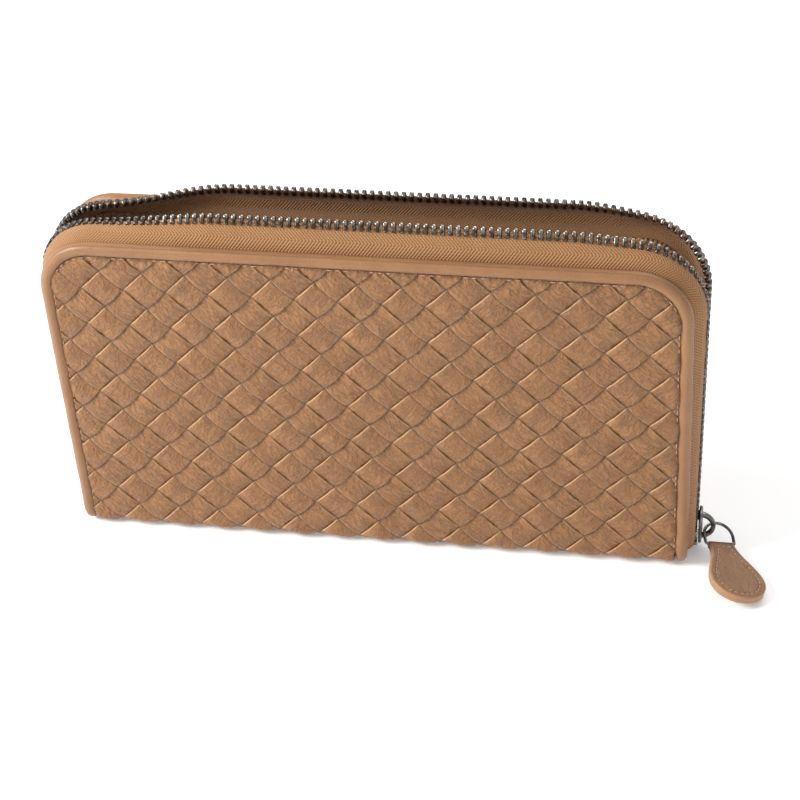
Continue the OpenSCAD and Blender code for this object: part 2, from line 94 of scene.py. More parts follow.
def put(tree, kind, values=None, **settings):
    """Adds a node. values are its unlinked inputs, and settings its own choices."""
    n = tree.nodes.new("ShaderNode" + kind)
    for key, value in settings.items():
        setattr(n, key, value)
    for key, value in (values or {}).items():
        n.inputs[key].default_value = value
    return n


def join(tree, *pairs):
    """Links each output to the input that follows it."""
    for a, b in zip(pairs[::2], pairs[1::2]):
        tree.links.new(a, b)


def new_finish(name):
    """An empty material, its node tree and its main shader."""
    m = bpy.data.materials.new(name)
    m.use_nodes = True
    return m, m.node_tree, m.node_tree.nodes["Principled BSDF"]


table_paint, tree, paint = new_finish("table_paint")
paint.inputs["Base Color"].default_value = (0.94, 0.94, 0.94, 1)
paint.inputs["Roughness"].default_value = 0.7
paint.inputs["Emission Color"].default_value = (1, 1, 1, 1)
paint.inputs["Emission Strength"].default_value = 0.18
table_top = bpy.data.meshes.new("table_top")
reach, table_z = 6.0, -0.0002
table_top.from_pydata([(x * reach, y * reach, table_z) for x, y in ((-1, -1), (1, -1), (1, 1), (-1, 1))], [],
                      [(0, 1, 2, 3)])
table_top.materials.append(table_paint)
table = bpy.data.objects.new("table_top", table_top)
studio.collection.objects.link(table)

# ---------------------------------------------------------------------------------------------------------
# The woven cover.
# Straps of soft camel leather, 9.2 mm wide, cut clean and woven over and under at 45 degrees into one
# piece that wraps the front, the fold, the spine, the other fold and the back. Its edge is sewn under the
# piping, where the straps gather.
# ---------------------------------------------------------------------------------------------------------
mm = 0.001
wallet_w, wallet_h = 195 * mm, 109.5 * mm
corner_r, fold_r, hinge_y = 17 * mm, 4 * mm, 8 * mm
lean = math.radians(2)


def stand(x, depth, height, side):
    """A point of a cover drawn upright with its outer face at depth 0, carried to where the cover stands.
    side is -1 at the front and 1 at the back."""
    y = -hinge_y + (depth - fold_r) * math.cos(lean) - (height - fold_r) * math.sin(lean)
    z = fold_r + (depth - fold_r) * math.sin(lean) + (height - fold_r) * math.cos(lean)
    return Vector((x, -side * y, z))


def smooth(t):
    t = min(1.0, max(0.0, t))
    return t * t * (3 - 2 * t)


def wrap(x, run, out, side):
    """A point of the wrapped cover. run is its height on the cover, and goes on round the fold and under
    the spine; out is how far it stands off the leather's face."""
    bend = fold_r - run
    out = out - 0.5 * mm * smooth(bend / (3 * mm))
    if bend <= 0:
        return stand(x, -out, run, side)
    turn = math.pi / 2 - lean
    a = bend / fold_r
    if a < turn:
        y = -hinge_y + (fold_r + out) * math.cos(math.pi + lean + a)
        z = fold_r + (fold_r + out) * math.sin(math.pi + lean + a)
    else:
        y, z = -hinge_y + bend - turn * fold_r, -out
    return Vector((x, -side * y, z))


def edge_gap(x, height, inset):
    """How far a point lies inside the cover's round-cornered outline, drawn inset from the piping's outer
    edge, and the way out."""
    rad = corner_r - inset
    qx = abs(x) - (wallet_w / 2 - inset - rad)
    qz = height - (wallet_h - inset - rad)
    s = 1 if x > 0 else -1
    if qx > 0 and qz > 0:
        d = math.hypot(qx, qz)
        return rad - d, (s * qx / d, qz / d)
    if qx > qz:
        return rad - qx, (s, 0)
    return rad - qz, (0, 1)


def piece(name, points, faces, materials, marks=None, which=None):
    """A smooth shaded mesh. marks are named values per point, and which gives each face its material."""
    mesh = bpy.data.meshes.new(name)
    mesh.from_pydata(points, [], faces)
    for m in materials:
        mesh.materials.append(m)
    for key, values in (marks or {}).items():
        vector = isinstance(values[0], (tuple, Vector))
        layer = mesh.attributes.new(key, "FLOAT_VECTOR" if vector else "FLOAT", "POINT")
        if vector:
            layer.data.foreach_set("vector", [c for v in values for c in v])
        else:
            layer.data.foreach_set("value", values)
    mesh.polygons.foreach_set("use_smooth", [True] * len(faces))
    if which:
        mesh.polygons.foreach_set("material_index", which)
    mesh.update()
    thing = bpy.data.objects.new(name, mesh)
    studio.collection.objects.link(thing)
    return thing


def grid(faces, first, rows, cols, flip):
    """Adds the faces of a sheet of rows by cols points, of which first is the number of the first."""
    for j in range(rows - 1):
        for i in range(cols - 1):
            a = first + j * cols + i
            q = [a, a + 1, a + cols + 1, a + cols]
            faces.append(q[::-1] if flip else q)


def new_group(name, ins, outs):
    """An empty node group with named sockets, and its two end nodes."""
    group = bpy.data.node_groups.new(name, "ShaderNodeTree")
    for key, kind, value in ins:
        s = group.interface.new_socket(key, in_out="INPUT", socket_type="NodeSocket" + kind)
        if value is not None:
            s.default_value = value
    for key, kind in outs:
        group.interface.new_socket(key, in_out="OUTPUT", socket_type="NodeSocket" + kind)
    return group, group.nodes.new("NodeGroupInput"), group.nodes.new("NodeGroupOutput")


# Pebbled hide: small raised cells with fine creases between them, and longer creases that run one way.
hide_grain, given, made = new_group(
    "hide_grain",
    [("Place", "Vector", None), ("Pebbles", "Float", 1300.0), ("Creases", "Float", 0.6),
     ("Crease Scale", "Vector", (260.0, 760.0, 1.0))],
    [("Height", "Float"), ("Valley", "Float")])
cells = put(hide_grain, "TexVoronoi", {"Randomness": 1.0}, feature="SMOOTH_F1")
fine = put(hide_grain, "TexNoise", {"Scale": 4200.0, "Detail": 2.0})
stretch = put(hide_grain, "VectorMath", operation="MULTIPLY")
bent = put(hide_grain, "TexNoise", {"Scale": 1.0, "Detail": 4.0, "Roughness": 0.6, "Distortion": 0.9})
fold_line = put(hide_grain, "MapRange", {"From Min": 0.0, "From Max": 0.075, "To Min": 1.0, "To Max": 0.0},
                interpolation_type="SMOOTHERSTEP")
off_middle = put(hide_grain, "Math", {1: 0.5}, operation="SUBTRACT")
away = put(hide_grain, "Math", operation="ABSOLUTE")
deep = put(hide_grain, "Math", operation="MULTIPLY")
pebble = put(hide_grain, "MapRange", {"From Min": 0.1, "From Max": 0.65, "To Min": 0.5, "To Max": 0.0},
             interpolation_type="SMOOTHSTEP")
rough = put(hide_grain, "Math", {1: 0.16}, operation="MULTIPLY")
total = put(hide_grain, "Math", operation="ADD")
between = put(hide_grain, "MapRange", {"From Min": 0.45, "From Max": 0.75, "To Min": 0.0, "To Max": 0.75})
valley = put(hide_grain, "Math", operation="MAXIMUM")
height = put(hide_grain, "Math", operation="SUBTRACT")
join(hide_grain, given.outputs["Place"], cells.inputs["Vector"], given.outputs["Pebbles"],
     cells.inputs["Scale"], given.outputs["Place"], fine.inputs["Vector"], given.outputs["Place"],
     stretch.inputs[0], given.outputs["Crease Scale"], stretch.inputs[1], stretch.outputs[0],
     bent.inputs["Vector"], bent.outputs["Fac"], off_middle.inputs[0], off_middle.outputs[0],
     away.inputs[0], away.outputs[0], fold_line.inputs["Value"], fold_line.outputs["Result"],
     deep.inputs[0], given.outputs["Creases"], deep.inputs[1], cells.outputs["Distance"],
     pebble.inputs["Value"], fine.outputs["Fac"], rough.inputs[0], pebble.outputs["Result"],
     total.inputs[0], rough.outputs[0], total.inputs[1], total.outputs[0], height.inputs[0],
     deep.outputs[0], height.inputs[1], height.outputs[0], made.inputs["Height"], cells.outputs["Distance"],
     between.inputs["Value"], deep.outputs[0], valley.inputs[0], between.outputs["Result"],
     valley.inputs[1], valley.outputs[0], made.inputs["Valley"])

# Uneven colour and painted light: a hide takes colour in soft clouds. The grain's creases are darkened as
# painted shade, the Rub mark makes it paler for wear and on the straps also for a painted highlight, and the
# Tuck mark darkens it as painted shade.
dye_and_painted_light, given, made = new_group(
    "uneven_dye_and_painted_light",
    [("Place", "Vector", None), ("Light", "Color", (0.5, 0.3, 0.2, 1)),
     ("Dark", "Color", (0.3, 0.2, 0.1, 1)), ("Wear And Highlight", "Color", (0.7, 0.5, 0.4, 1)),
     ("Valley", "Float", 0.0), ("Rub", "Float", 0.0),
     ("Tuck Shade", "Float", 0.0), ("Cloud Scale", "Float", 70.0)],
    [("Color", "Color"), ("Roughness", "Float")])
cloud = put(dye_and_painted_light, "TexNoise", {"Detail": 5.0, "Roughness": 0.62})
clouds = put(dye_and_painted_light, "MapRange", {"From Min": 0.3, "From Max": 0.7})
base = put(dye_and_painted_light, "Mix", data_type="RGBA")
# the grain's valleys darken the colour: painted shade in the creases and between the pebbles
crease = put(dye_and_painted_light, "Math", {1: 0.45}, operation="MULTIPLY")
darker = put(dye_and_painted_light, "Mix", data_type="RGBA")
# the Rub mark mixes in the pale colour: wear, and on the straps' cut edges also a painted highlight
paler = put(dye_and_painted_light, "Mix", data_type="RGBA")
# the Tuck mark multiplies the colour towards dark brown: painted shade where a part lies hidden under others
shaded = put(dye_and_painted_light, "Mix", {7: (0.20, 0.15, 0.12, 1)}, data_type="RGBA", blend_type="MULTIPLY")
dull = put(dye_and_painted_light, "MapRange", {"From Min": 0.0, "From Max": 1.0, "To Min": 0.44, "To Max": 0.62})
join(dye_and_painted_light, given.outputs["Place"], cloud.inputs["Vector"], given.outputs["Cloud Scale"],
     cloud.inputs["Scale"], cloud.outputs["Fac"], clouds.inputs["Value"], clouds.outputs["Result"],
     base.inputs["Factor"], given.outputs["Dark"], base.inputs[6], given.outputs["Light"],
     base.inputs[7], base.outputs[2], darker.inputs[6], given.outputs["Dark"], darker.inputs[7],
     given.outputs["Valley"], crease.inputs[0], crease.outputs[0], darker.inputs["Factor"],
     darker.outputs[2], paler.inputs[6], given.outputs["Wear And Highlight"], paler.inputs[7],
     given.outputs["Rub"], paler.inputs["Factor"], paler.outputs[2], shaded.inputs[6],
     given.outputs["Tuck Shade"], shaded.inputs["Factor"], shaded.outputs[2], made.inputs["Color"],
     given.outputs["Valley"], dull.inputs["Value"], dull.outputs["Result"], made.inputs["Roughness"])


def leather(name, light, dark, worn, pebbles, creases, crease_scale, bump, coat, place="lay", rub=None,
            clouds=70.0, sheen=0.04, tuck=None):
    """A leather finish: grain, creases and uneven colour under a thin finish coat, with painted shade in the
    creases. place is the piece's own mark for where a point lies on the hide, rub its mark for paler edges,
    worn and on the straps also a painted highlight, and tuck its mark for painted shade where a part lies
    hidden."""
    m, tree, face = new_finish(name)
    face.inputs["Coat Weight"].default_value = coat
    face.inputs["Coat Roughness"].default_value = 0.32
    face.inputs["Sheen Weight"].default_value = sheen
    face.inputs["Specular IOR Level"].default_value = 0.42
    where = put(tree, "Attribute", attribute_name=place)
    grain = put(tree, "Group", node_tree=hide_grain)
    grain.inputs["Pebbles"].default_value = pebbles
    grain.inputs["Creases"].default_value = creases
    grain.inputs["Crease Scale"].default_value = crease_scale
    colour = put(tree, "Group", node_tree=dye_and_painted_light)
    colour.inputs["Light"].default_value = (*light, 1)
    colour.inputs["Dark"].default_value = (*dark, 1)
    colour.inputs["Wear And Highlight"].default_value = (*worn, 1)
    colour.inputs["Cloud Scale"].default_value = clouds
    relief = put(tree, "Bump", {"Strength": 1.0, "Distance": bump})
    join(tree, where.outputs["Vector"], grain.inputs["Place"], where.outputs["Vector"],
         colour.inputs["Place"], grain.outputs["Valley"], colour.inputs["Valley"],
         colour.outputs["Color"], face.inputs["Base Color"], colour.outputs["Roughness"],
         face.inputs["Roughness"], grain.outputs["Height"], relief.inputs["Height"],
         relief.outputs["Normal"], face.inputs["Normal"])
    if rub:
        rubbed = put(tree, "Attribute", attribute_name=rub)
        join(tree, rubbed.outputs["Fac"], colour.inputs["Rub"])
    if tuck:
        tuck_shade_mark = put(tree, "Attribute", attribute_name=tuck)
        join(tree, tuck_shade_mark.outputs["Fac"], colour.inputs["Tuck Shade"])
    return m


# The straps' pale colour paints their cut edges, partly as a painted highlight, and their tuck mark paints
# shade where they lie hidden.
strap_leather = leather("strap_leather", (0.325, 0.148, 0.050), (0.225, 0.096, 0.030), (0.66, 0.40, 0.21),
                        900, 0.6, (190, 430, 1), 0.00036, 0.16, rub="rub", clouds=110, tuck="tuck")
# the cloth under the straps is coloured near black: painted shade in the gaps between the straps
under_cloth_painted_shade = leather("under_cloth_painted_shade", (0.05, 0.024, 0.011), (0.03, 0.014, 0.007), (0.05, 0.02, 0.01),
                      900, 0.1, (200, 200, 1), 0.0001, 0.0)

lattice = wallet_w / 14.96
strap = lattice / math.sqrt(2)
strap_rise = 0.72 * mm
under_edge = 3.1 * mm
spine_middle = fold_r - (math.pi / 2 - lean) * fold_r - hinge_y
# The strap's section, from one cut edge over the top to the other: across, drop from the top, rub (the cut
# edge painted paler: a pale cut edge, and partly a painted highlight)
strap_section = ([(-0.490, 0.75, 0.2), (-0.496, 0.34, 0.7), (-0.494, 0.10, 1.0), (-0.482, 0.03, 0.6),
                  (-0.455, 0.0, 0.1)]
                 + [(-0.36 + 0.08 * i, 0.0, 0.0) for i in range(10)]
                 + [(0.455, 0.0, 0.1), (0.482, 0.03, 0.6), (0.494, 0.10, 1.0), (0.496, 0.34, 0.7),
                    (0.490, 0.75, 0.2)])
along_steps = 18


def weave_half(name, side):
    """Every crossing of one half of the cover, from its top edge down to the middle of the spine."""
    points, faces, lay, rub, tuck = [], [], [], [], []
    wide = len(strap_section)
    rows = int(wallet_h / lattice) + 3
    for k in range(-2, 2 * rows):
        for i in range(-2, 32):
            if (i + k) % 2:
                continue
            # crossings where the straps that lean right lie on top alternate with those that lean left
            cx = -wallet_w / 2 + (i / 2 + 0.5) * lattice
            cr = (k / 2 + 0.22) * lattice
            leans_right = (k % 2 == 0)
            if side > 0:
                leans_right = not leans_right
                if cr < spine_middle + lattice * 0.25:
                    continue
            if cr < spine_middle - lattice * 0.25 or cr > wallet_h + lattice * 0.2:
                continue
            if abs(cx) > wallet_w / 2 + lattice * 0.2:
                continue
            ax, ar = (0.70711, 0.70711) if leans_right else (0.70711, -0.70711)
            tx, tr = (-ar, ax)
            seed = math.sin(i * 12.99 + k * 78.23 + side * 3.7) * 43.7
            first = len(points)
            outside = []
            lift = (0.14 if leans_right else -0.04) * mm + 0.05 * mm * math.sin(seed * 7.1)
            swing = 0.012 * math.sin(seed * 3.3)
            pucker = 0.20 if leans_right else 0.09
            for a in range(along_steps + 1):
                s = (a / along_steps - 0.5) * 1.22
                rise = strap_rise * math.cos(math.pi * s) + lift * math.cos(math.pi * s) ** 2
                for t, drop, worn in strap_section:
                    narrow = 1 - 0.02 * (2 * s) ** 2
                    tt = t * narrow + swing * s
                    x = cx + (ax * s + tx * tt) * strap
                    run = cr + (ar * s + tr * tt) * strap
                    spot = Vector((x * 1000, run * 1000, seed))
                    wrinkle = noise.noise(Vector((s * 2.6 + seed, t * 9, seed))) * pucker * mm
                    wrinkle += noise.noise(spot * 0.55) * 0.10 * mm
                    gap, way = edge_gap(x, run, under_edge)
                    gather = 0.0
                    if gap < 9 * mm:
                        along_edge = (x * way[1] - run * way[0]) * 1000
                        wave = along_edge * 2 * math.pi / 2.7 + 4 * noise.noise(spot * 0.18)
                        fade = smooth(1 - gap / (9 * mm))
                        gather = 0.17 * mm * math.sin(wave) * fade * (0.35 + 0.65 * abs(way[1]))
                    dome = 0.14 * mm * (1 - (2 * t) ** 2)
                    out = rise - 0.25 * mm + dome + wrinkle + gather - drop * mm * 1.1
                    out -= 0.75 * mm * smooth(1 - gap / (1.9 * mm))
                    # the straps under the spine are pressed flat by the wallet's weight
                    out -= smooth((1 * mm - run) / (3 * mm)) * max(0, out - 0.05 * mm)
                    limit = wallet_w / 2 - (under_edge if run > 5 * mm else under_edge + 1.0 * mm)
                    beyond = gap < 0
                    if beyond:
                        x += way[0] * gap
                        run += way[1] * gap
                        out = min(out, -0.55 * mm)
                    if abs(x) > limit:
                        beyond = True
                        x = math.copysign(limit, x)
                    outside.append(beyond)
                    points.append(wrap(x, run, out, side))
                    lay.append((s * strap + seed * 0.013, t * strap, seed * 0.01))
                    # tuck darkens the colour as painted shade: at the strap's ends, where it dives under its
                    # neighbours, down its cut sides, and along the piping's edge
                    under = smooth((abs(s) - 0.43) / 0.09)
                    tuck.append(max(under, smooth(drop * 2.2 - 0.5), 0.75 * smooth(1 - gap / (1.6 * mm))))
                    # the cut edge is painted paler, most on the upper left edge of the straps that lean
                    # right: in part a pale cut edge, in part a painted highlight where the light falls
                    lit_side_highlight = 1 if t > 0 or not leans_right else 0.35
                    rub.append(worn * (0.85 if leans_right else 0.55) * lit_side_highlight)
            for a in range(along_steps):
                for b in range(wide - 1):
                    q = [a * wide + b, (a + 1) * wide + b, (a + 1) * wide + b + 1, a * wide + b + 1]
                    if all(outside[j] for j in q):
                        continue
                    q = [first + j for j in q]
                    faces.append(q if side < 0 else q[::-1])
    # the cloth that the straps are laid on, coloured near black: painted shade for the gaps between the
    # straps
    top_faces = len(faces)
    first = len(points)
    nx, nz = 96, 64
    for j in range(nz + 1):
        run = spine_middle + (wallet_h - under_edge - spine_middle) * j / nz
        for i in range(nx + 1):
            x = (i / nx - 0.5) * (wallet_w - 2 * under_edge - 1.6 * mm)
            gap, way = edge_gap(x, run, under_edge + 0.4 * mm)
            px, pr = (x + way[0] * gap, run + way[1] * gap) if gap < 0 else (x, run)
            points.append(wrap(px, pr, -0.95 * mm, side))
            lay.append((x, run, 0.0))
            rub.append(0.0)
            tuck.append(1.0)
    grid(faces, first, nz + 1, nx + 1, side > 0)
    which = [0] * top_faces + [1] * (len(faces) - top_faces)
    return piece(name, points, faces, [strap_leather, under_cloth_painted_shade],
                 {"lay": lay, "rub": rub, "tuck": tuck}, which)


front_weave = weave_half("front_weave", -1)
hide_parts("front_woven_panel", "front_fold_leather", "spine_leather")
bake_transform(front_weave)
back_weave = weave_half("back_weave", 1)
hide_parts("back_woven_panel", "back_fold_leather", "spine_leather")
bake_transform(back_weave)

# ---------------------------------------------------------------------------------------------------------
# The piping.
# A cord wrapped in smooth camel leather and sewn round the top and sides of each cover, over the woven
# edge. Its seam lies hard against the straps, and it tucks in round the fold at the foot.
# ---------------------------------------------------------------------------------------------------------
piping_r, piping_sunk = 2 * mm, 1.4 * mm
piping_leather = leather("piping_leather", (0.325, 0.157, 0.062), (0.250, 0.114, 0.043),
                         (0.43, 0.235, 0.115), 2100, 0.30, (150, 420, 1), 0.00009, 0.22, rub="rub",
                         clouds=60)
stitch_thread, tree, fibre = new_finish("stitch_thread")
fibre.inputs["Sheen Weight"].default_value = 0.3
where = put(tree, "TexCoord")
ply = put(tree, "TexWave", {"Scale": 900.0, "Distortion": 1.5, "Detail": 1.0}, bands_direction="DIAGONAL")
shade = put(tree, "MapRange", {"To Min": 0.55, "To Max": 0.75})
thread_colour = put(tree, "ValToRGB")
thread_colour.color_ramp.elements[0].color = (0.30, 0.165, 0.085, 1)
thread_colour.color_ramp.elements[1].color = (0.56, 0.36, 0.22, 1)
twist = put(tree, "Bump", {"Strength": 0.7, "Distance": 0.00005})
join(tree, where.outputs["Object"], ply.inputs["Vector"], ply.outputs["Fac"], thread_colour.inputs["Fac"],
     thread_colour.outputs["Color"], fibre.inputs["Base Color"], ply.outputs["Fac"],
     shade.inputs["Value"], shade.outputs["Result"], fibre.inputs["Roughness"], ply.outputs["Fac"],
     twist.inputs["Height"], twist.outputs["Normal"], fibre.inputs["Normal"])


def bar_skin(faces, first, rings, n, flip=False):
    """Adds the faces of a closed bar made of rings of n points each, and its two ends."""
    for j in range(rings - 1):
        for i in range(n):
            a, b = first + j * n + i, first + j * n + (i + 1) % n
            q = [a, b, b + n, a + n]
            faces.append(q[::-1] if flip else q)
    low = [first + i for i in range(n)]
    high = [first + (rings - 1) * n + i for i in range(n)]
    faces.append(low if flip else low[::-1])
    faces.append(high[::-1] if flip else high)


def tube(path, radius, points, faces, lay, rub, round_n=16, wobble=None):
    """Adds a closed tube along a path to the lists of a mesh. radius is a number or one for each point."""
    first = len(points)
    run = 0.0
    side_way = None
    for j, p in enumerate(path):
        ahead = (path[min(j + 1, len(path) - 1)] - path[max(j - 1, 0)]).normalized()
        if side_way is None:
            side_way = ahead.orthogonal().normalized()
        side_way = (side_way - ahead * side_way.dot(ahead)).normalized()
        other = ahead.cross(side_way)
        if j:
            run += (p - path[j - 1]).length
        r_here = radius[j] if isinstance(radius, list) else radius
        for i in range(round_n):
            a = 2 * math.pi * i / round_n
            way = side_way * math.cos(a) + other * math.sin(a)
            r_now = r_here + (wobble(run, a) if wobble else 0)
            points.append(p + way * r_now)
            lay.append((run, a * r_here, 0.0))
            rub.append(0.0)
    bar_skin(faces, first, len(path), round_n)


def stitches(path, pitch, length, radius, points, faces, lay, rub):
    """Adds a run of short thread loops along a path, each bedded at its two ends."""
    rest, travelled = 0.0, []
    for a, b in zip(path, path[1:]):
        step = (b - a).length
        at = rest
        while at < step:
            travelled.append((a.lerp(b, at / step), (b - a).normalized()))
            at += pitch
        rest = at - step
    for middle, ahead in travelled:
        loop = [middle + ahead * length * f for f in (-0.5, -0.42, -0.25, 0, 0.25, 0.42, 0.5)]
        tube(loop, [radius * g for g in (0.25, 0.7, 0.95, 1, 0.95, 0.7, 0.25)], points, faces, lay, rub, 6)


def edge_path(inset, depth, side, foot, step=1.5 * mm):
    """Up one side of a cover, round its top and down the other, inset from the piping's outer edge."""
    rad = corner_r - inset
    x_in, z_in = wallet_w / 2 - corner_r, wallet_h - corner_r
    flat = []
    n = int((z_in - foot) / step)
    flat += [(-wallet_w / 2 + inset, foot + (z_in - foot) * i / n) for i in range(n)]
    flat += [(-x_in - rad * math.cos(a), z_in + rad * math.sin(a))
             for a in (math.pi / 2 * i / 18 for i in range(18))]
    n = int(2 * x_in / step)
    flat += [(-x_in + 2 * x_in * i / n, wallet_h - inset) for i in range(n)]
    flat += [(x_in + rad * math.sin(a), z_in + rad * math.cos(a))
             for a in (math.pi / 2 * i / 18 for i in range(18))]
    n = int((z_in - foot) / step)
    flat += [(wallet_w / 2 - inset, z_in - (z_in - foot) * i / n) for i in range(n + 1)]
    return [stand(x, depth, z, side) for x, z in flat]


def cord_wobble(run, a):
    """Small creases round the cord, and a slow change in how full it is."""
    full = noise.noise(Vector((run * 90, 0.3, 0))) * 0.10 * mm
    pinch = noise.noise(Vector((run * 520, math.cos(a), math.sin(a)))) * 0.055 * mm
    return full + pinch


# The cord's run in round the fold at each foot, from its end up: in from the side, depth and height
piping_tail = ((0.5, 4.2, 1.45), (0.3, 3.3, 1.7), (0.15, 2.5, 2.4), (0.05, 1.8, 3.5), (0, 1.5, 4.7))
for side, cover in ((-1, "front"), (1, "back")):
    points, faces, lay, rub = [], [], [], []
    line = edge_path(piping_r, piping_sunk, side, 6 * mm)
    left = [stand(-wallet_w / 2 + piping_r + a * mm, b * mm, c * mm, side)
            for a, b, c in piping_tail]
    right = [stand(wallet_w / 2 - piping_r - a * mm, b * mm, c * mm, side)
             for a, b, c in piping_tail[::-1]]
    path = left + line + right
    thin = [1.3 * mm, 1.5 * mm, 1.7 * mm, 1.85 * mm, 1.95 * mm]
    tube(path, thin + [piping_r] * len(line) + thin[::-1], points, faces, lay, rub, 28, cord_wobble)
    welt = len(faces)
    seam = edge_path(4.15 * mm, 0.12 * mm, side, 8 * mm)
    stitches(seam, 2.5 * mm, 1.5 * mm, 0.20 * mm, points, faces, lay, rub)
    which = [0] * welt + [1] * (len(faces) - welt)
    cord = piece(cover + "_piping_welt", points, faces, [piping_leather, stitch_thread],
                 {"lay": lay, "rub": rub}, which)
    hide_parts(cover + "_piping")
    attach(cord, cover + "_cover")

# ---------------------------------------------------------------------------------------------------------
# The main zip's tapes.
# Camel twill tape, woven with a herringbone, sewn to the inside of each cover's edge. It comes up behind
# the piping and stands over the top, and turns square to the covers down their sides.
# ---------------------------------------------------------------------------------------------------------
tape_t = 0.6 * mm
row_start, row_off = 5 * mm, 4 * mm
row_r = corner_r + row_off
side_run = wallet_h - corner_r - row_start
arc_run = row_r * math.pi / 2
row_run = 2 * side_run + 2 * arc_run + wallet_w - 2 * corner_r
slider_z, row_gap = 7.5 * mm, 3 * mm
tooth_l = 3 * mm
tape_y = 3.75 * mm
side_depth = 12 * mm + (slider_z - fold_r) * math.sin(lean) - row_gap / 2
foot_reach, right_reach, left_reach, left_in = 1.2 * mm, 2.6 * mm, 1.0 * mm, 1.8 * mm
left_turn = (arc_run - 6 * mm, arc_run + 40 * mm)
right_turn = (8 * mm, arc_run + 20 * mm)


def rim(s, out):
    """A point of the cover's outline, out from it, by distance s along the row of teeth from the left foot
    to the right foot, and the way outward."""
    h = min(s, row_run - s)
    if h < side_run:
        x, z, nx, nz = -wallet_w / 2 - out, row_start + h, -1, 0
    elif h < side_run + arc_run:
        a = math.pi - (h - side_run) / row_r
        x = -wallet_w / 2 + corner_r + (corner_r + out) * math.cos(a)
        z = wallet_h - corner_r + (corner_r + out) * math.sin(a)
        nx, nz = math.cos(a), math.sin(a)
    else:
        x, z, nx, nz = -wallet_w / 2 + corner_r + h - side_run - arc_run, wallet_h + out, 0, 1
    return (x, z, nx, nz) if s <= row_run / 2 else (-x, z, -nx, nz)


def side_share(s):
    """1 where the tape stands square to the cover, 0 where it stands up along the top."""
    past = min(s, row_run - s) - side_run
    a, b = left_turn if s < row_run / 2 else right_turn
    return 1 - smooth((past - a) / (b - a))


def beside(s):
    """How far out and how deep the tooth tips lie where the tape stands square to the cover."""
    climb = min(1, min(s, row_run - s) / side_run)
    if s < row_run / 2:
        return foot_reach + (left_reach - foot_reach) * climb, side_depth + left_in * climb
    return foot_reach + (right_reach - foot_reach) * climb, side_depth


def row_tip(s):
    return Vector((8.4 * mm, 8 * mm)).lerp(Vector(beside(s)), side_share(s))


def row_belly(s):
    reach, depth = beside(s)
    top = Vector((8.4 * mm * 0.42, tape_y + (8 * mm - tape_y) * 0.38))
    return top.lerp(Vector((reach, tape_y + (depth - tape_y) * 0.4)), side_share(s))


def row_way(s):
    return (row_tip(s) - row_belly(s)).normalized()


def spline(knots, n):
    """n points along a smooth curve through the knots."""
    out = []
    for i in range(n):
        u = i / (n - 1) * (len(knots) - 1)
        k = min(int(u), len(knots) - 2)
        f = u - k
        p0, p1 = knots[max(k - 1, 0)], knots[k]
        p2, p3 = knots[k + 1], knots[min(k + 2, len(knots) - 1)]
        out.append(0.5 * ((2 * p1) + (p2 - p0) * f + (2 * p0 - 5 * p1 + 4 * p2 - p3) * f * f
                          + (3 * p1 - p0 - 3 * p2 + p3) * f ** 3))
    return out


# Herringbone twill: slanting ridges of yarn that change slant from one rib to the next, with a mark for the
# grooves between them that the tape darkens as painted shade.
twill, given, made = new_group(
    "herringbone",
    [("Place", "Vector", None), ("Rib", "Float", 0.0024), ("Yarns", "Float", 11000.0)],
    [("Height", "Float"), ("Between", "Float")])
split = put(twill, "SeparateXYZ")
zigzag = put(twill, "Math", operation="PINGPONG")
slant = put(twill, "Math", operation="ADD")
turns = put(twill, "Math", operation="MULTIPLY")
ridge = put(twill, "Math", operation="SINE")
cross = put(twill, "Math", {1: 9000.0}, operation="MULTIPLY")
weft = put(twill, "Math", operation="SINE")
weft_low = put(twill, "Math", {1: 0.28}, operation="MULTIPLY")
fuzz = put(twill, "TexNoise", {"Scale": 3500.0, "Detail": 3.0})
both = put(twill, "Math", operation="ADD")
rough = put(twill, "Math", operation="ADD")
between = put(twill, "MapRange", {"From Min": -0.2, "From Max": -1.1})
join(twill, given.outputs["Place"], split.inputs[0], split.outputs[1], zigzag.inputs[0],
     given.outputs["Rib"], zigzag.inputs[1], split.outputs[0], slant.inputs[0], zigzag.outputs[0],
     slant.inputs[1], slant.outputs[0], turns.inputs[0], given.outputs["Yarns"], turns.inputs[1],
     turns.outputs[0], ridge.inputs[0], split.outputs[1], cross.inputs[0], cross.outputs[0],
     weft.inputs[0], weft.outputs[0], weft_low.inputs[0], ridge.outputs[0], both.inputs[0],
     weft_low.outputs[0], both.inputs[1], both.outputs[0], rough.inputs[0], given.outputs["Place"],
     fuzz.inputs["Vector"], fuzz.outputs["Fac"], rough.inputs[1], rough.outputs[0],
     made.inputs["Height"], both.outputs[0], between.inputs["Value"], between.outputs["Result"],
     made.inputs["Between"])


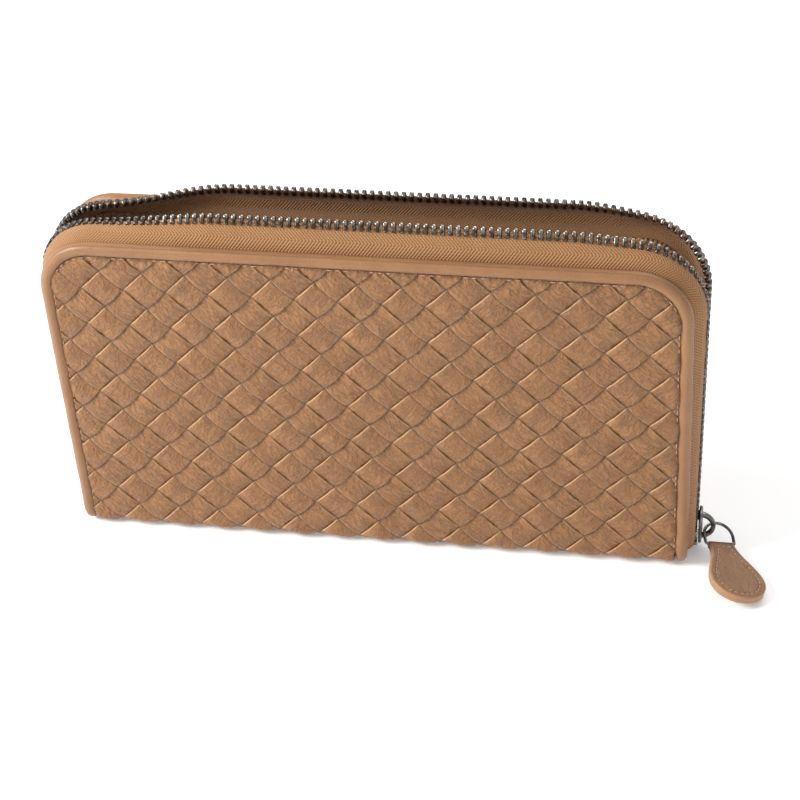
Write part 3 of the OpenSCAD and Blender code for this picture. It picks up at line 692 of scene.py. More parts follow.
def tape_cloth(name, light, dark, rib, yarns):
    """A twill finish in two close tones, its grooves between the yarn ridges darkened as painted shade,
    matt, with a little nap.
    """
    m, tree, yarn = new_finish(name)
    yarn.inputs["Sheen Weight"].default_value = 0.22
    yarn.inputs["Sheen Roughness"].default_value = 0.5
    yarn.inputs["Specular IOR Level"].default_value = 0.25
    where = put(tree, "Attribute", attribute_name="lay")
    weave = put(tree, "Group", node_tree=twill)
    weave.inputs["Rib"].default_value = rib
    weave.inputs["Yarns"].default_value = yarns
    cloud = put(tree, "TexNoise", {"Scale": 120.0, "Detail": 4.0})
    tone = put(tree, "Mix", data_type="RGBA")
    tone.inputs[6].default_value = (*light, 1)
    tone.inputs[7].default_value = tuple(0.86 * c for c in light) + (1,)
    # the grooves between the ridges are darkened towards the dark colour: painted shade
    shade = put(tree, "Mix", data_type="RGBA")
    shade.inputs[7].default_value = (*dark, 1)
    dull = put(tree, "MapRange", {"To Min": 0.72, "To Max": 0.9})
    relief = put(tree, "Bump", {"Strength": 0.9, "Distance": 0.00009})
    join(tree, where.outputs["Vector"], weave.inputs["Place"], where.outputs["Vector"],
         cloud.inputs["Vector"], cloud.outputs["Fac"], tone.inputs["Factor"], tone.outputs[2],
         shade.inputs[6], weave.outputs["Between"], shade.inputs["Factor"], shade.outputs[2],
         yarn.inputs["Base Color"], weave.outputs["Between"], dull.inputs["Value"],
         dull.outputs["Result"], yarn.inputs["Roughness"], weave.outputs["Height"],
         relief.inputs["Height"], relief.outputs["Normal"], yarn.inputs["Normal"])
    return m


zip_cloth = tape_cloth("zip_cloth", (0.41, 0.205, 0.085), (0.22, 0.105, 0.042), 0.0028, 6200)
tape_ways = 15
for side, cover in ((-1, "front"), (1, "back")):
    points, faces, lay, rub = [], [], [], []
    stations = 300
    bead = []
    for j in range(stations + 1):
        s = -1.5 * mm + (row_run + 3 * mm) * j / stations
        tip, way = row_tip(s), row_way(s)
        knots = [Vector((-5.5 * mm, 3.65 * mm)), Vector((-3.7 * mm, tape_y)), Vector((-1.2 * mm, tape_y)),
                 row_belly(s), tip - way * (tooth_l - 1 * mm)]
        line = spline(knots, tape_ways)
        ripple = 0.12 * mm * noise.noise(Vector((s * 160, 0, side)))
        shell = []
        for k, sign in ((range(tape_ways), 1), (range(tape_ways - 1, -1, -1), -1)):
            for i in k:
                d = (line[min(i + 1, tape_ways - 1)] - line[max(i - 1, 0)]).normalized()
                p = line[i] + Vector((-d.y, d.x)) * (sign * tape_t / 2 + ripple * i / tape_ways)
                shell.append((p, i * 1.15 * mm))
        for p, across in shell:
            x, z, nx, nz = rim(s, p.x)
            points.append(stand(x, p.y, z, side))
            lay.append((s, across, 0.0))
        x, z, nx, nz = rim(s, (tip - way * (tooth_l - 1.1 * mm)).x)
        bead.append(stand(x, (tip - way * (tooth_l - 1.1 * mm)).y, z, side))
    n = 2 * tape_ways
    for j in range(stations):
        for i in range(n):
            k = (i + 1) % n
            q = [j * n + i, (j + 1) * n + i, (j + 1) * n + k, j * n + k]
            faces.append(q if side > 0 else q[::-1])
    faces.append(list(range(n)))
    faces.append([stations * n + i for i in range(n)][::-1])
    rub = [0.0] * len(points)
    tube(bead, 0.5 * mm, points, faces, lay, rub, 8)
    tape = piece(cover + "_tape", points, faces, [zip_cloth], {"lay": lay})
    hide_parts(cover + "_zip_tape")
    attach(tape, cover + "_cover")

# ---------------------------------------------------------------------------------------------------------
# The main zip's teeth.
# Cast metal teeth clamped on the bead of each tape: two legs grip the cloth and a rounded head stands past
# it with a nib on its crest. They are darkened, and worn bright where the slider and fingers rub.
# ---------------------------------------------------------------------------------------------------------
# Darkened metal: a brown-black skin that is rubbed through to bright metal on the crests.
aged_metal, given, made = new_group(
    "aged_metal",
    [("Place", "Vector", None), ("Skin", "Color", (0.1, 0.1, 0.1, 1)),
     ("Bright", "Color", (0.6, 0.6, 0.6, 1)), ("Rub", "Float", 0.0), ("Fleck Scale", "Float", 900.0)],
    [("Color", "Color"), ("Roughness", "Float"), ("Height", "Float")])
fleck = put(aged_metal, "TexNoise", {"Detail": 4.0, "Roughness": 0.65})
uneven = put(aged_metal, "MapRange", {"From Min": 0.35, "From Max": 0.65, "To Min": -0.28, "To Max": 0.28})
bare = put(aged_metal, "Math", operation="ADD", use_clamp=True)
tone = put(aged_metal, "Mix", data_type="RGBA")
gloss = put(aged_metal, "MapRange", {"To Min": 0.42, "To Max": 0.24})
join(aged_metal, given.outputs["Place"], fleck.inputs["Vector"], given.outputs["Fleck Scale"],
     fleck.inputs["Scale"], fleck.outputs["Fac"], uneven.inputs["Value"], uneven.outputs["Result"],
     bare.inputs[0], given.outputs["Rub"], bare.inputs[1], bare.outputs[0], tone.inputs["Factor"],
     given.outputs["Skin"], tone.inputs[6], given.outputs["Bright"], tone.inputs[7],
     tone.outputs[2], made.inputs["Color"], bare.outputs[0], gloss.inputs["Value"],
     gloss.outputs["Result"], made.inputs["Roughness"], fleck.outputs["Fac"], made.inputs["Height"])


def metal(name, skin, bright, rub=None, flecks=900.0, bump=0.00003, base_rub=None):
    """A darkened metal finish. rub is the piece's own mark for its worn crests."""
    m, tree, face = new_finish(name)
    face.inputs["Metallic"].default_value = 1.0
    where = put(tree, "TexCoord")
    aged = put(tree, "Group", node_tree=aged_metal)
    aged.inputs["Skin"].default_value = (*skin, 1)
    aged.inputs["Bright"].default_value = (*bright, 1)
    aged.inputs["Fleck Scale"].default_value = flecks
    relief = put(tree, "Bump", {"Strength": 0.5, "Distance": bump})
    join(tree, where.outputs["Object"], aged.inputs["Place"], aged.outputs["Color"],
         face.inputs["Base Color"], aged.outputs["Roughness"], face.inputs["Roughness"],
         aged.outputs["Height"], relief.inputs["Height"], relief.outputs["Normal"], face.inputs["Normal"])
    if rub:
        mark = put(tree, "Attribute", attribute_name=rub)
        join(tree, mark.outputs["Fac"], aged.inputs["Rub"])
    else:
        aged.inputs["Rub"].default_value = 0.3 if base_rub is None else base_rub
    return m


tooth_metal = metal("tooth_metal", (0.060, 0.050, 0.042), (0.62, 0.58, 0.53), rub="crest")
tooth_t, tooth_pitch = 2.2 * mm, 2.36 * mm


def tooth_form():
    """One tooth about its own axes: x along the row, y from root to tip, z through. Rings of a rounded
    section from the legs up to the nib, with how bright each is worn."""
    rings = [(-3.0, 0.60, 0.96, 0.0), (-2.86, 0.74, 1.08, 0.05), (-2.0, 0.75, 1.10, 0.1),
             (-1.55, 0.66, 1.02, 0.1), (-1.2, 0.72, 1.06, 0.3), (-0.75, 0.75, 1.08, 0.6),
             (-0.42, 0.70, 1.0, 0.85), (-0.2, 0.5, 0.8, 1.0), (-0.05, 0.36, 0.62, 1.0),
             (0.0, 0.16, 0.34, 1.0)]
    n = 12
    form, crest = [], []
    for y, half_w, half_t, worn in rings:
        for i in range(n):
            a = 2 * math.pi * (i + 0.5) / n
            c, s = math.cos(a), math.sin(a)
            x = math.copysign(abs(c) ** 0.55, c) * half_w
            z = math.copysign(abs(s) ** 0.55, s) * half_t
            form.append(Vector((x, y, z)) * mm)
            crest.append(worn * (0.55 + 0.45 * abs(s)))
    shell = []
    for j in range(len(rings) - 1):
        for i in range(n):
            k = (i + 1) % n
            shell.append([j * n + i, j * n + k, (j + 1) * n + k, (j + 1) * n + i])
    shell.append(list(range(n))[::-1])
    shell.append([(len(rings) - 1) * n + i for i in range(n)])
    return form, shell, crest


tooth_points, tooth_faces, tooth_crest = tooth_form()
tooth_count = int(row_run / tooth_pitch)
for side, cover in ((-1, "front"), (1, "back")):
    points, faces, crest = [], [], []
    for i in range(2, tooth_count - 1):
        s = (i + 0.5) * row_run / tooth_count
        tip, way = row_tip(s), row_way(s)
        x, z, nx, nz = rim(s, tip.x)
        shake = math.sin(i * 45.1 + side) * 0.05
        axes = []
        for dx, dy, dz in ((nz, 0, -nx), (nx * way.x, way.y, nz * way.x)):
            axes.append(stand(x + dx, tip.y + dy, z + dz, side) - stand(x, tip.y, z, side))
        along, up = axes
        through = along.cross(up)
        centre = stand(x, tip.y, z, side)
        wear = 0.62 + 0.38 * noise.noise(Vector((s * 28, side * 5, 0)))
        wear *= 1.0 if side < 0 else 0.45
        first = len(points)
        for p, c in zip(tooth_points, tooth_crest):
            q = Vector((p.x + p.y * shake, p.y, p.z))
            points.append(centre + along * q.x + up * q.y + through * q.z)
            crest.append(c * wear)
        for f in tooth_faces:
            g = [first + k for k in f]
            faces.append(g if side < 0 else g[::-1])
    row = piece(cover + "_teeth", points, faces, [tooth_metal], {"crest": crest})
    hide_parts(cover + "_zip_teeth")
    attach(row, cover + "_cover")

# ---------------------------------------------------------------------------------------------------------
# The zip's stops.
# Small crimped blocks of the same metal: one at each end of a row, one that joins the rows at the foot
# under the slider, and two at the ends of the coin pocket's zip.
# ---------------------------------------------------------------------------------------------------------
stop_metal = metal("stop_metal", (0.07, 0.06, 0.05), (0.5, 0.47, 0.43), base_rub=0.35)
for name in ("front_zip_stop", "back_zip_stop", "zip_bottom_stop", "coin_zip_stops"):
    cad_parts[name].data.materials.clear()
    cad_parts[name].data.materials.append(stop_metal)

# ---------------------------------------------------------------------------------------------------------
# The slider.
# Cast and darkened metal: two shaped plates with turned-in rims that hold the rows, a wedge between them
# at the top that parts the teeth, and on the outer plate an arched crown that carries the ring.
# ---------------------------------------------------------------------------------------------------------
slider_metal = metal("slider_metal", (0.035, 0.033, 0.032), (0.30, 0.29, 0.28), rub="crest", flecks=420,
                     bump=0.00002)
slider_x = wallet_w / 2 + foot_reach + (right_reach - foot_reach) * (slider_z - row_start) / side_run
slider_l, slider_w, plate_t = 12 * mm, 8 * mm, 1 * mm
plate_in = tooth_t / 2 + 0.3 * mm


def plate_edge(n=44):
    """The plate's outline: broad shoulders at the top, where the rows part, and a narrower rounded tail."""
    out = []
    for i in range(n):
        a = 2 * math.pi * i / n
        c, s = math.cos(a), math.sin(a)
        y = math.copysign(abs(c) ** 0.5, c) * slider_w / 2
        z = math.copysign(abs(s) ** 0.62, s) * slider_l / 2
        waist = 1 - 0.20 * smooth(0.5 - z / slider_l) - 0.06 * math.exp(-((z / slider_l) / 0.16) ** 2)
        out.append((y * waist, z))
    return out


def plate(x_in, x_out, dome, points, faces, crest):
    """Adds one plate, its outer face a little domed and its edges rounded."""
    edge = plate_edge()
    first = len(points)
    way = 1 if x_out > x_in else -1
    t = abs(x_out - x_in)
    rings = [(0.86, 0.0, 0), (0.955, 0.0, 0), (0.99, 0.14, 0.1), (1.0, 0.5, 0.3), (0.99, 0.82, 0.75),
             (0.95, 0.97, 0.6), (0.86, 1.0, 0.2), (0.6, 1.0 + dome * 0.6, 0.1), (0.3, 1.0 + dome, 0.1)]
    for size, level, worn in rings:
        for y, z in edge:
            points.append(Vector((x_in + way * t * level, y * size, slider_z + z * size)))
            crest.append(worn)
    bar_skin(faces, first, len(rings), len(edge), way < 0)


def bar_of(section, path, points, faces, crest, worn=0.4):
    """Adds a closed bar whose section, given across and through, is carried along a path of frames."""
    first = len(points)
    for middle, across, through, size in path:
        for a, b in section:
            points.append(middle + across * (a * size) + through * (b * size))
            crest.append(worn if b > 0 else 0.1)
    bar_skin(faces, first, len(path), len(section))


points, faces, crest = [], [], []
plate(slider_x + plate_in, slider_x + plate_in + plate_t, 0.12, points, faces, crest)
plate(slider_x - plate_in, slider_x - plate_in - plate_t, 0.12, points, faces, crest)
wedge = [(0.5 * mm * math.cos(a), 2.0 * mm * math.sin(a))
         for a in (2 * math.pi * (i + 0.5) / 12 for i in range(12))]
bar_of(wedge, [(Vector((slider_x + x, 0, slider_z + 3.9 * mm)), Vector((0, 1, 0)), Vector((0, 0, 1)), 1.0)
               for x in (-plate_in - 0.2 * mm, 0, plate_in + 0.2 * mm)], points, faces, crest, 0.2)
body = piece("slider_plates", points, faces, [slider_metal], {"crest": crest})
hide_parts("zip_slider_body")
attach(body, "zip_slider")

points, faces, crest = [], [], []
crown_foot = slider_x + plate_in + plate_t
crown_w, crown_t, crown_r, crown_in = 1.6 * mm, 1.5 * mm, 5 * mm, 0.8 * mm
strip = []
for i in range(16):
    a = 2 * math.pi * (i + 0.5) / 16
    c, sn = math.cos(a), math.sin(a)
    strip.append((math.copysign(abs(c) ** 0.6, c) * crown_w / 2,
                  math.copysign(abs(sn) ** 0.6, sn) * crown_t / 2))
arch = []
for i in range(33):
    a = math.radians(-83 + 166 * i / 32)
    mid_r = crown_r - crown_t / 2
    out = Vector((math.cos(a), 0, math.sin(a)))
    spread = 1 + 0.18 * smooth((abs(a) - 0.9) / 0.5)
    arch.append((Vector((crown_foot - crown_in, 0, slider_z)) + out * mid_r, Vector((0, spread, 0)),
                 out, 1.0))
bar_of(strip, arch, points, faces, crest, 0.55)
crown = piece("slider_crown", points, faces, [slider_metal], {"crest": crest})
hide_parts("zip_slider_crown")
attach(crown, "zip_slider")

# ---------------------------------------------------------------------------------------------------------
# The D ring.
# One round wire bent to an arc, two short legs and a straight bar, its ends butted in the middle of the
# bar inside the leather. The arc hangs in the crown and the bar lies in the pull's fold.
# ---------------------------------------------------------------------------------------------------------
ring_metal = metal("ring_metal", (0.045, 0.043, 0.042), (0.42, 0.41, 0.40), flecks=300, bump=0.00001,
                   base_rub=0.34)
ring_turn, bar_tilt, ring_dip, ring_hang = (math.radians(a) for a in (70, 16, 20, 48))
ring_r, ring_leg, wire_r = 4.8 * mm, 3 * mm, 0.5 * mm
ring_hole = Vector((crown_foot + (crown_r - crown_t - crown_in) / 2, 0, slider_z - 0.6 * mm))
bar_dir = Vector((math.sin(ring_turn) * math.cos(bar_tilt), math.cos(ring_turn) * math.cos(bar_tilt),
                  -math.sin(bar_tilt)))
level_dir = Vector((math.cos(ring_turn), -math.sin(ring_turn), 0))
under_dir = bar_dir.cross(level_dir)
down_dir = level_dir * math.cos(ring_dip) + under_dir * math.sin(ring_dip)
ring_mid = ring_hole + bar_dir * ring_r * math.sin(ring_hang) + down_dir * ring_r * math.cos(ring_hang)
bar_mid = ring_mid + down_dir * ring_leg
corner = 0.9 * mm
loop = []
for i in range(49):
    a = math.pi * i / 48
    loop.append(ring_mid + bar_dir * ring_r * math.cos(a) - down_dir * ring_r * math.sin(a))
for i in range(1, 4):
    loop.append(ring_mid - bar_dir * ring_r + down_dir * (ring_leg - corner) * i / 3)
for i in range(1, 9):
    a = math.pi / 2 * i / 8
    loop.append(bar_mid - bar_dir * (ring_r - corner + corner * math.cos(a))
                - down_dir * corner * (1 - math.sin(a)))
for i in range(1, 12):
    loop.append(bar_mid + bar_dir * (ring_r - corner) * (i / 6 - 1))
for i in range(9):
    a = math.pi / 2 * (1 - i / 8)
    loop.append(bar_mid + bar_dir * (ring_r - corner + corner * math.cos(a))
                - down_dir * corner * (1 - math.sin(a)))
for i in range(1, 3):
    loop.append(ring_mid + bar_dir * ring_r + down_dir * (ring_leg - corner) * (1 - i / 3))
points, faces = [], []
n, m = len(loop), 16
for j, p in enumerate(loop):
    ahead = (loop[(j + 1) % n] - loop[j - 1]).normalized()
    other = ahead.cross(under_dir).normalized()
    for i in range(m):
        a = 2 * math.pi * i / m
        points.append(p + (other * math.cos(a) + under_dir * math.sin(a)) * wire_r)
for j in range(n):
    for i in range(m):
        k, l = (i + 1) % m, (j + 1) % n
        faces.append([j * m + i, j * m + k, l * m + k, l * m + i][::-1])
ring = piece("d_ring", points, faces, [ring_metal])
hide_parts("pull_ring")
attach(ring, "pull_ring")

# ---------------------------------------------------------------------------------------------------------
# The leather pull.
# One strip of grained camel leather folded round the ring's bar and stuck to a second layer, cut to a
# flared tongue with a round end, its edge painted smooth, and stitched all round 2 mm in.
# ---------------------------------------------------------------------------------------------------------
pull_leather = leather("pull_leather", (0.270, 0.130, 0.053), (0.190, 0.087, 0.034), (0.40, 0.23, 0.12),
                       1500, 0.65, (900, 150, 1), 0.00015, 0.08, rub="rub", clouds=120)
edge_paint = leather("edge_paint", (0.40, 0.210, 0.104), (0.33, 0.166, 0.080), (0.5, 0.29, 0.16),
                     2600, 0.1, (300, 300, 1), 0.00003, 0.25, clouds=150)
pull_l, pull_w, pull_neck, layer_t = 27 * mm, 17.5 * mm, 8 * mm, 1.3 * mm
clear = bar_mid.z - layer_t - pull_w / 2 * math.sin(bar_tilt)
pull_dip = math.asin(max(0, clear) / pull_l)
pull_dir = level_dir * math.cos(pull_dip) + under_dir * math.sin(pull_dip)
face_dir = -bar_dir.cross(pull_dir)
round_r = pull_w / 2
fold_out = wire_r + 0.08 * mm + 0.8 * mm


def tongue(inset, n=30):
    """The pull's outline drawn inset, from the neck down one side, round the end and back up."""
    end = pull_l - round_r
    start = fold_out * 0.55 + inset * 0.9
    one = []
    for i in range(n):
        t = i / (n - 1)
        y = start + (end - start) * t
        widening = smooth((y - fold_out) / (end - fold_out))
        one.append((pull_neck / 2 - inset + (round_r - pull_neck / 2) * widening, y))
    arc = [((round_r - inset) * math.cos(a), end + (round_r - inset) * math.sin(a))
           for a in (math.pi * i / 28 for i in range(1, 28))]
    return one + arc + [(-x, y) for x, y in reversed(one)]


def tab_point(x, y, up):
    return bar_mid + bar_dir * x + pull_dir * y + face_dir * up


points, faces, lay, rub, which = [], [], [], [], []
# Rings from the middle of the under side, out round the edge and in again over the top
side_rings = [(3.4, -1.30), (2.4, -1.30), (2.0, -1.22), (1.6, -1.30), (0.55, -1.30), (0.2, -1.22),
              (0.02, -1.0), (0.0, -0.5), (0.02, -0.08), (0.10, 0.0), (0.02, 0.08), (0.0, 0.5),
              (0.03, 1.0), (0.22, 1.2), (0.6, 1.28), (1.3, 1.29), (1.7, 1.27), (1.85, 1.13), (2.0, 1.06),
              (2.15, 1.13), (2.3, 1.27), (2.8, 1.30), (3.4, 1.30)]
for inset, up in side_rings:
    for x, y in tongue(inset * mm):
        swell = 0.10 * mm * noise.noise(Vector((x * 160, y * 160, up)))
        points.append(tab_point(x, y, up * mm + (swell if abs(up) > 1.25 else 0)))
        lay.append((x, y, 0.0))
        rub.append(0.5 if 0.9 < abs(up) < 1.26 and inset < 0.3 else 0.0)
n = len(tongue(0))
for j in range(len(side_rings) - 1):
    painted = abs(side_rings[j][1]) < 1.1 and side_rings[j][0] < 0.3
    for i in range(n):
        k = (i + 1) % n
        faces.append([j * n + i, (j + 1) * n + i, (j + 1) * n + k, j * n + k])
        which.append(1 if painted else 0)
for first, flip in ((0, True), ((len(side_rings) - 1) * n, False)):
    # the two flat middles, ribbed across from side to side
    half = n // 2
    for i in range(half - 1):
        q = [first + i, first + i + 1, first + n - 2 - i, first + n - 1 - i]
        if len(set(q)) == 4:
            faces.append(q if flip else q[::-1])
            which.append(0)
# the fold round the bar
turn_first = len(points)
arc_n = 20
for j in range(arc_n + 1):
    a = math.pi * j / arc_n
    for x_share in (-1.0, -0.985, -0.9, -0.5, 0.0, 0.5, 0.9, 0.985, 1.0):
        x = x_share * pull_neck / 2
        rr = fold_out * 0.985 - (0.12 * mm if abs(x_share) == 1 else 0)
        points.append(tab_point(x, -rr * math.sin(a) + fold_out * 0.6, (1.28 * mm) * math.cos(a)))
        lay.append((x, -a * rr, 0.0))
        rub.append(0.25 if abs(x_share) < 0.95 else 0.6)
for j in range(arc_n):
    for i in range(8):
        q = [turn_first + j * 9 + i, turn_first + j * 9 + i + 1, turn_first + (j + 1) * 9 + i + 1,
             turn_first + (j + 1) * 9 + i]
        faces.append(q[::-1])
        which.append(0)
for i, flip in ((0, False), (8, True)):
    q = [turn_first + j * 9 + i for j in range(arc_n + 1)]
    faces.append(q if flip else q[::-1])
    which.append(1)
leather_faces = len(faces)
for up in (1, -1):
    line = tongue(2.0 * mm, 60)
    path = [tab_point(x, y, up * (1.13 if up > 0 else 1.25) * mm) for x, y in line]
    path.append(path[0])
    stitches(path, 1.75 * mm, 1.25 * mm, 0.19 * mm, points, faces, lay, rub)
which += [2] * (len(faces) - leather_faces)
pull = piece("leather_pull", points, faces, [pull_leather, edge_paint, stitch_thread],
             {"lay": lay, "rub": rub}, which)
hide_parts("pull_tab_face", "pull_tab_back")
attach(pull, "pull_tab")

# ---------------------------------------------------------------------------------------------------------
# The stiffening boards.
# A sheet of bonded fibre board inside each cover, its edges rounded, glued between the woven leather and
# the lining.
# ---------------------------------------------------------------------------------------------------------
board_fibre, tree, card = new_finish("board_fibre")
where = put(tree, "Attribute", attribute_name="lay")
flock = put(tree, "TexNoise", {"Scale": 900.0, "Detail": 5.0, "Roughness": 0.7})
tint = put(tree, "ValToRGB")
tint.color_ramp.elements[0].color = (0.42, 0.35, 0.27, 1)
tint.color_ramp.elements[1].color = (0.62, 0.55, 0.44, 1)
dull = put(tree, "MapRange", {"To Min": 0.8, "To Max": 0.95})
relief = put(tree, "Bump", {"Strength": 0.6, "Distance": 0.0001})
join(tree, where.outputs["Vector"], flock.inputs["Vector"], flock.outputs["Fac"], tint.inputs["Fac"],
     tint.outputs["Color"], card.inputs["Base Color"], flock.outputs["Fac"], dull.inputs["Value"],
     dull.outputs["Result"], card.inputs["Roughness"], flock.outputs["Fac"], relief.inputs["Height"],
     relief.outputs["Normal"], card.inputs["Normal"])


def thick_sheet(faces, rows, cols, flip):
    """Adds the faces of a sheet with two sides of rows by cols points each, and the band round its edge."""
    block = rows * cols
    grid(faces, 0, rows, cols, flip)
    grid(faces, block, rows, cols, not flip)
    line = ([j * cols for j in range(rows)] + [(rows - 1) * cols + i for i in range(1, cols)]
            + [j * cols + cols - 1 for j in range(rows - 2, -1, -1)] + [i for i in range(cols - 2, 0, -1)])
    for a, b in zip(line, line[1:] + line[:1]):
        q = [a, b, b + block, a + block]
        faces.append(q[::-1] if flip else q)


def cover_sheet(name, inset, y0, t, foot, side, materials, marks_face=None, nx=90, nz=54):
    """A sheet cut to the cover's round-cornered outline, drawn inset, from depth y0 to y0 + t. Its edge is
    rounded, and marks_face may raise its inner face at a point."""
    points, faces, lay, rub = [], [], [], []
    top = wallet_h - inset
    wide = wallet_w / 2 - inset
    for face in (0, 1):
        for j in range(nz + 1):
            v = foot + (top - foot) * (1 - (1 - j / nz) ** 1.35)
            for i in range(nx + 1):
                u = 2 * i / nx - 1
                x = wide * math.copysign(1 - (1 - abs(u)) ** 1.25, u)
                gap, way = edge_gap(x, v, inset)
                px, pv = (x + way[0] * gap, v + way[1] * gap) if gap < 0 else (x, v)
                edge = min(max(gap, 0), pv - foot)
                inward = t / 2 * (1 - math.sqrt(max(0, 1 - max(0, 1 - edge / (t * 0.8)) ** 2)))
                depth = y0 + inward if face == 0 else y0 + t - inward
                if face and marks_face:
                    depth += marks_face(px, pv, gap)
                points.append(stand(px, depth, pv, side))
                lay.append((px, pv, 0.0))
                rub.append(0.0)
    thick_sheet(faces, nz + 1, nx + 1, side > 0)
    return piece(name, points, faces, materials, {"lay": lay, "rub": rub})


for side, cover in ((-1, "front"), (1, "back")):
    board = cover_sheet(cover + "_board_sheet", 4.55 * mm, 1.65 * mm, 0.8 * mm, 7 * mm, side, [board_fibre],
                        nx=40, nz=24)
    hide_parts(cover + "_board")
    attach(board, cover + "_cover")

# ---------------------------------------------------------------------------------------------------------
# The lining.
# Thin pebbled leather, the same camel, glued to the board. Its top edge is turned and sewn over the tape's
# edge, which draws it into small puckers.
# ---------------------------------------------------------------------------------------------------------
lining_leather = leather("lining_leather", (0.315, 0.155, 0.068), (0.195, 0.090, 0.037), (0.45, 0.26, 0.14),
                         1000, 0.7, (330, 330, 1), 0.00026, 0.04, rub="rub", clouds=80)


def puckers(x, v, gap):
    """Ridges that run in from the sewn edge and die out."""
    if v < 88 * mm or gap > 16 * mm:
        return 0.0
    fade = smooth((v - 88 * mm) / (4 * mm)) * smooth(1 - gap / (15 * mm))
    wave = math.sin(x * 2 * math.pi / (2.6 * mm) + 3 * noise.noise(Vector((x * 120, v * 60, 0))))
    return 0.16 * mm * (wave + 0.4 * noise.noise(Vector((x * 900, v * 400, 1)))) * fade - 0.05 * mm * fade


for side, cover in ((-1, "front"), (1, "back")):
    lining = cover_sheet(cover + "_lining_sheet", 4.05 * mm, 2.5 * mm, 0.8 * mm, 5 * mm, side,
                         [lining_leather], puckers, nx=240, nz=60)
    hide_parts(cover + "_lining")
    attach(lining, cover + "_cover")
    # the turned edge that covers the tape's sewn edge, with its stitches
    points, faces, lay, rub = [], [], [], []
    begin, finish = side_run + 4 * mm, row_run - side_run - 4 * mm
    steps = 420
    hem = [(-4.9, 4.02), (-4.75, 4.28), (-5.0, 4.52), (-5.8, 4.60), (-6.4, 4.42), (-6.7, 4.34), (-7.0, 4.42),
           (-8.2, 4.34), (-9.6, 3.9), (-10.6, 3.45), (-10.8, 3.30), (-8.0, 3.35)]
    seam = []
    for j in range(steps + 1):
        s = begin + (finish - begin) * j / steps
        ends = smooth((s - begin) / (8 * mm)) * smooth((finish - s) / (8 * mm))
        pull_in = math.sin(s * 2 * math.pi / (2.5 * mm) + 2.5 * noise.noise(Vector((s * 70, 2, side))))
        for h, (out, depth) in enumerate(hem):
            bump_here = 0.17 * mm * pull_in * (1 if 2 <= h <= 9 else 0.2) + 0.1 * mm * noise.noise(
                Vector((s * 500, out, side)))
            sway = 0.35 * mm * pull_in if h < 4 else 0
            x, z, nx, nz = rim(s, out * mm * (0.55 + 0.45 * ends) + sway - 2.2 * mm * (1 - ends))
            raised = (depth * mm - 3.3 * mm + bump_here) * ends
            points.append(stand(x, 3.3 * mm + raised + 0.02 * mm, z, side))
            lay.append((s, out * mm, 0.0))
            rub.append(0.35 if h in (2, 3) else 0.0)
        x, z, nx, nz = rim(s, -6.6 * mm)
        seam.append(stand(x, 4.36 * mm, z, side))
    n = len(hem)
    for j in range(steps):
        for i in range(n):
            k = (i + 1) % n
            q = [j * n + i, j * n + k, (j + 1) * n + k, (j + 1) * n + i]
            faces.append(q if side > 0 else q[::-1])
    faces.append(list(range(n))[::-1])
    faces.append([steps * n + i for i in range(n)])
    cloth = len(faces)
    stitches(seam[26:-26], 2.4 * mm, 1.5 * mm, 0.2 * mm, points, faces, lay, rub)
    which = [0] * cloth + [1] * (len(faces) - cloth)
    hem_piece = piece(cover + "_turned_edge", points, faces, [lining_leather, stitch_thread],
                      {"lay": lay, "rub": rub}, which)
    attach(hem_piece, cover + "_cover")

# ---------------------------------------------------------------------------------------------------------
# The pockets inside each cover.
# Behind a long note pocket lie four stepped rows of card slots. Each is one piece of thin fine grained
# leather with its top edge turned over and creased, glued down its sides and sewn down the middle.
# ---------------------------------------------------------------------------------------------------------
pocket_leather = leather("pocket_leather", (0.300, 0.146, 0.063), (0.205, 0.095, 0.039), (0.45, 0.26, 0.14),
                         1700, 0.35, (240, 240, 1), 0.00011, 0.07, rub="rub", clouds=60)


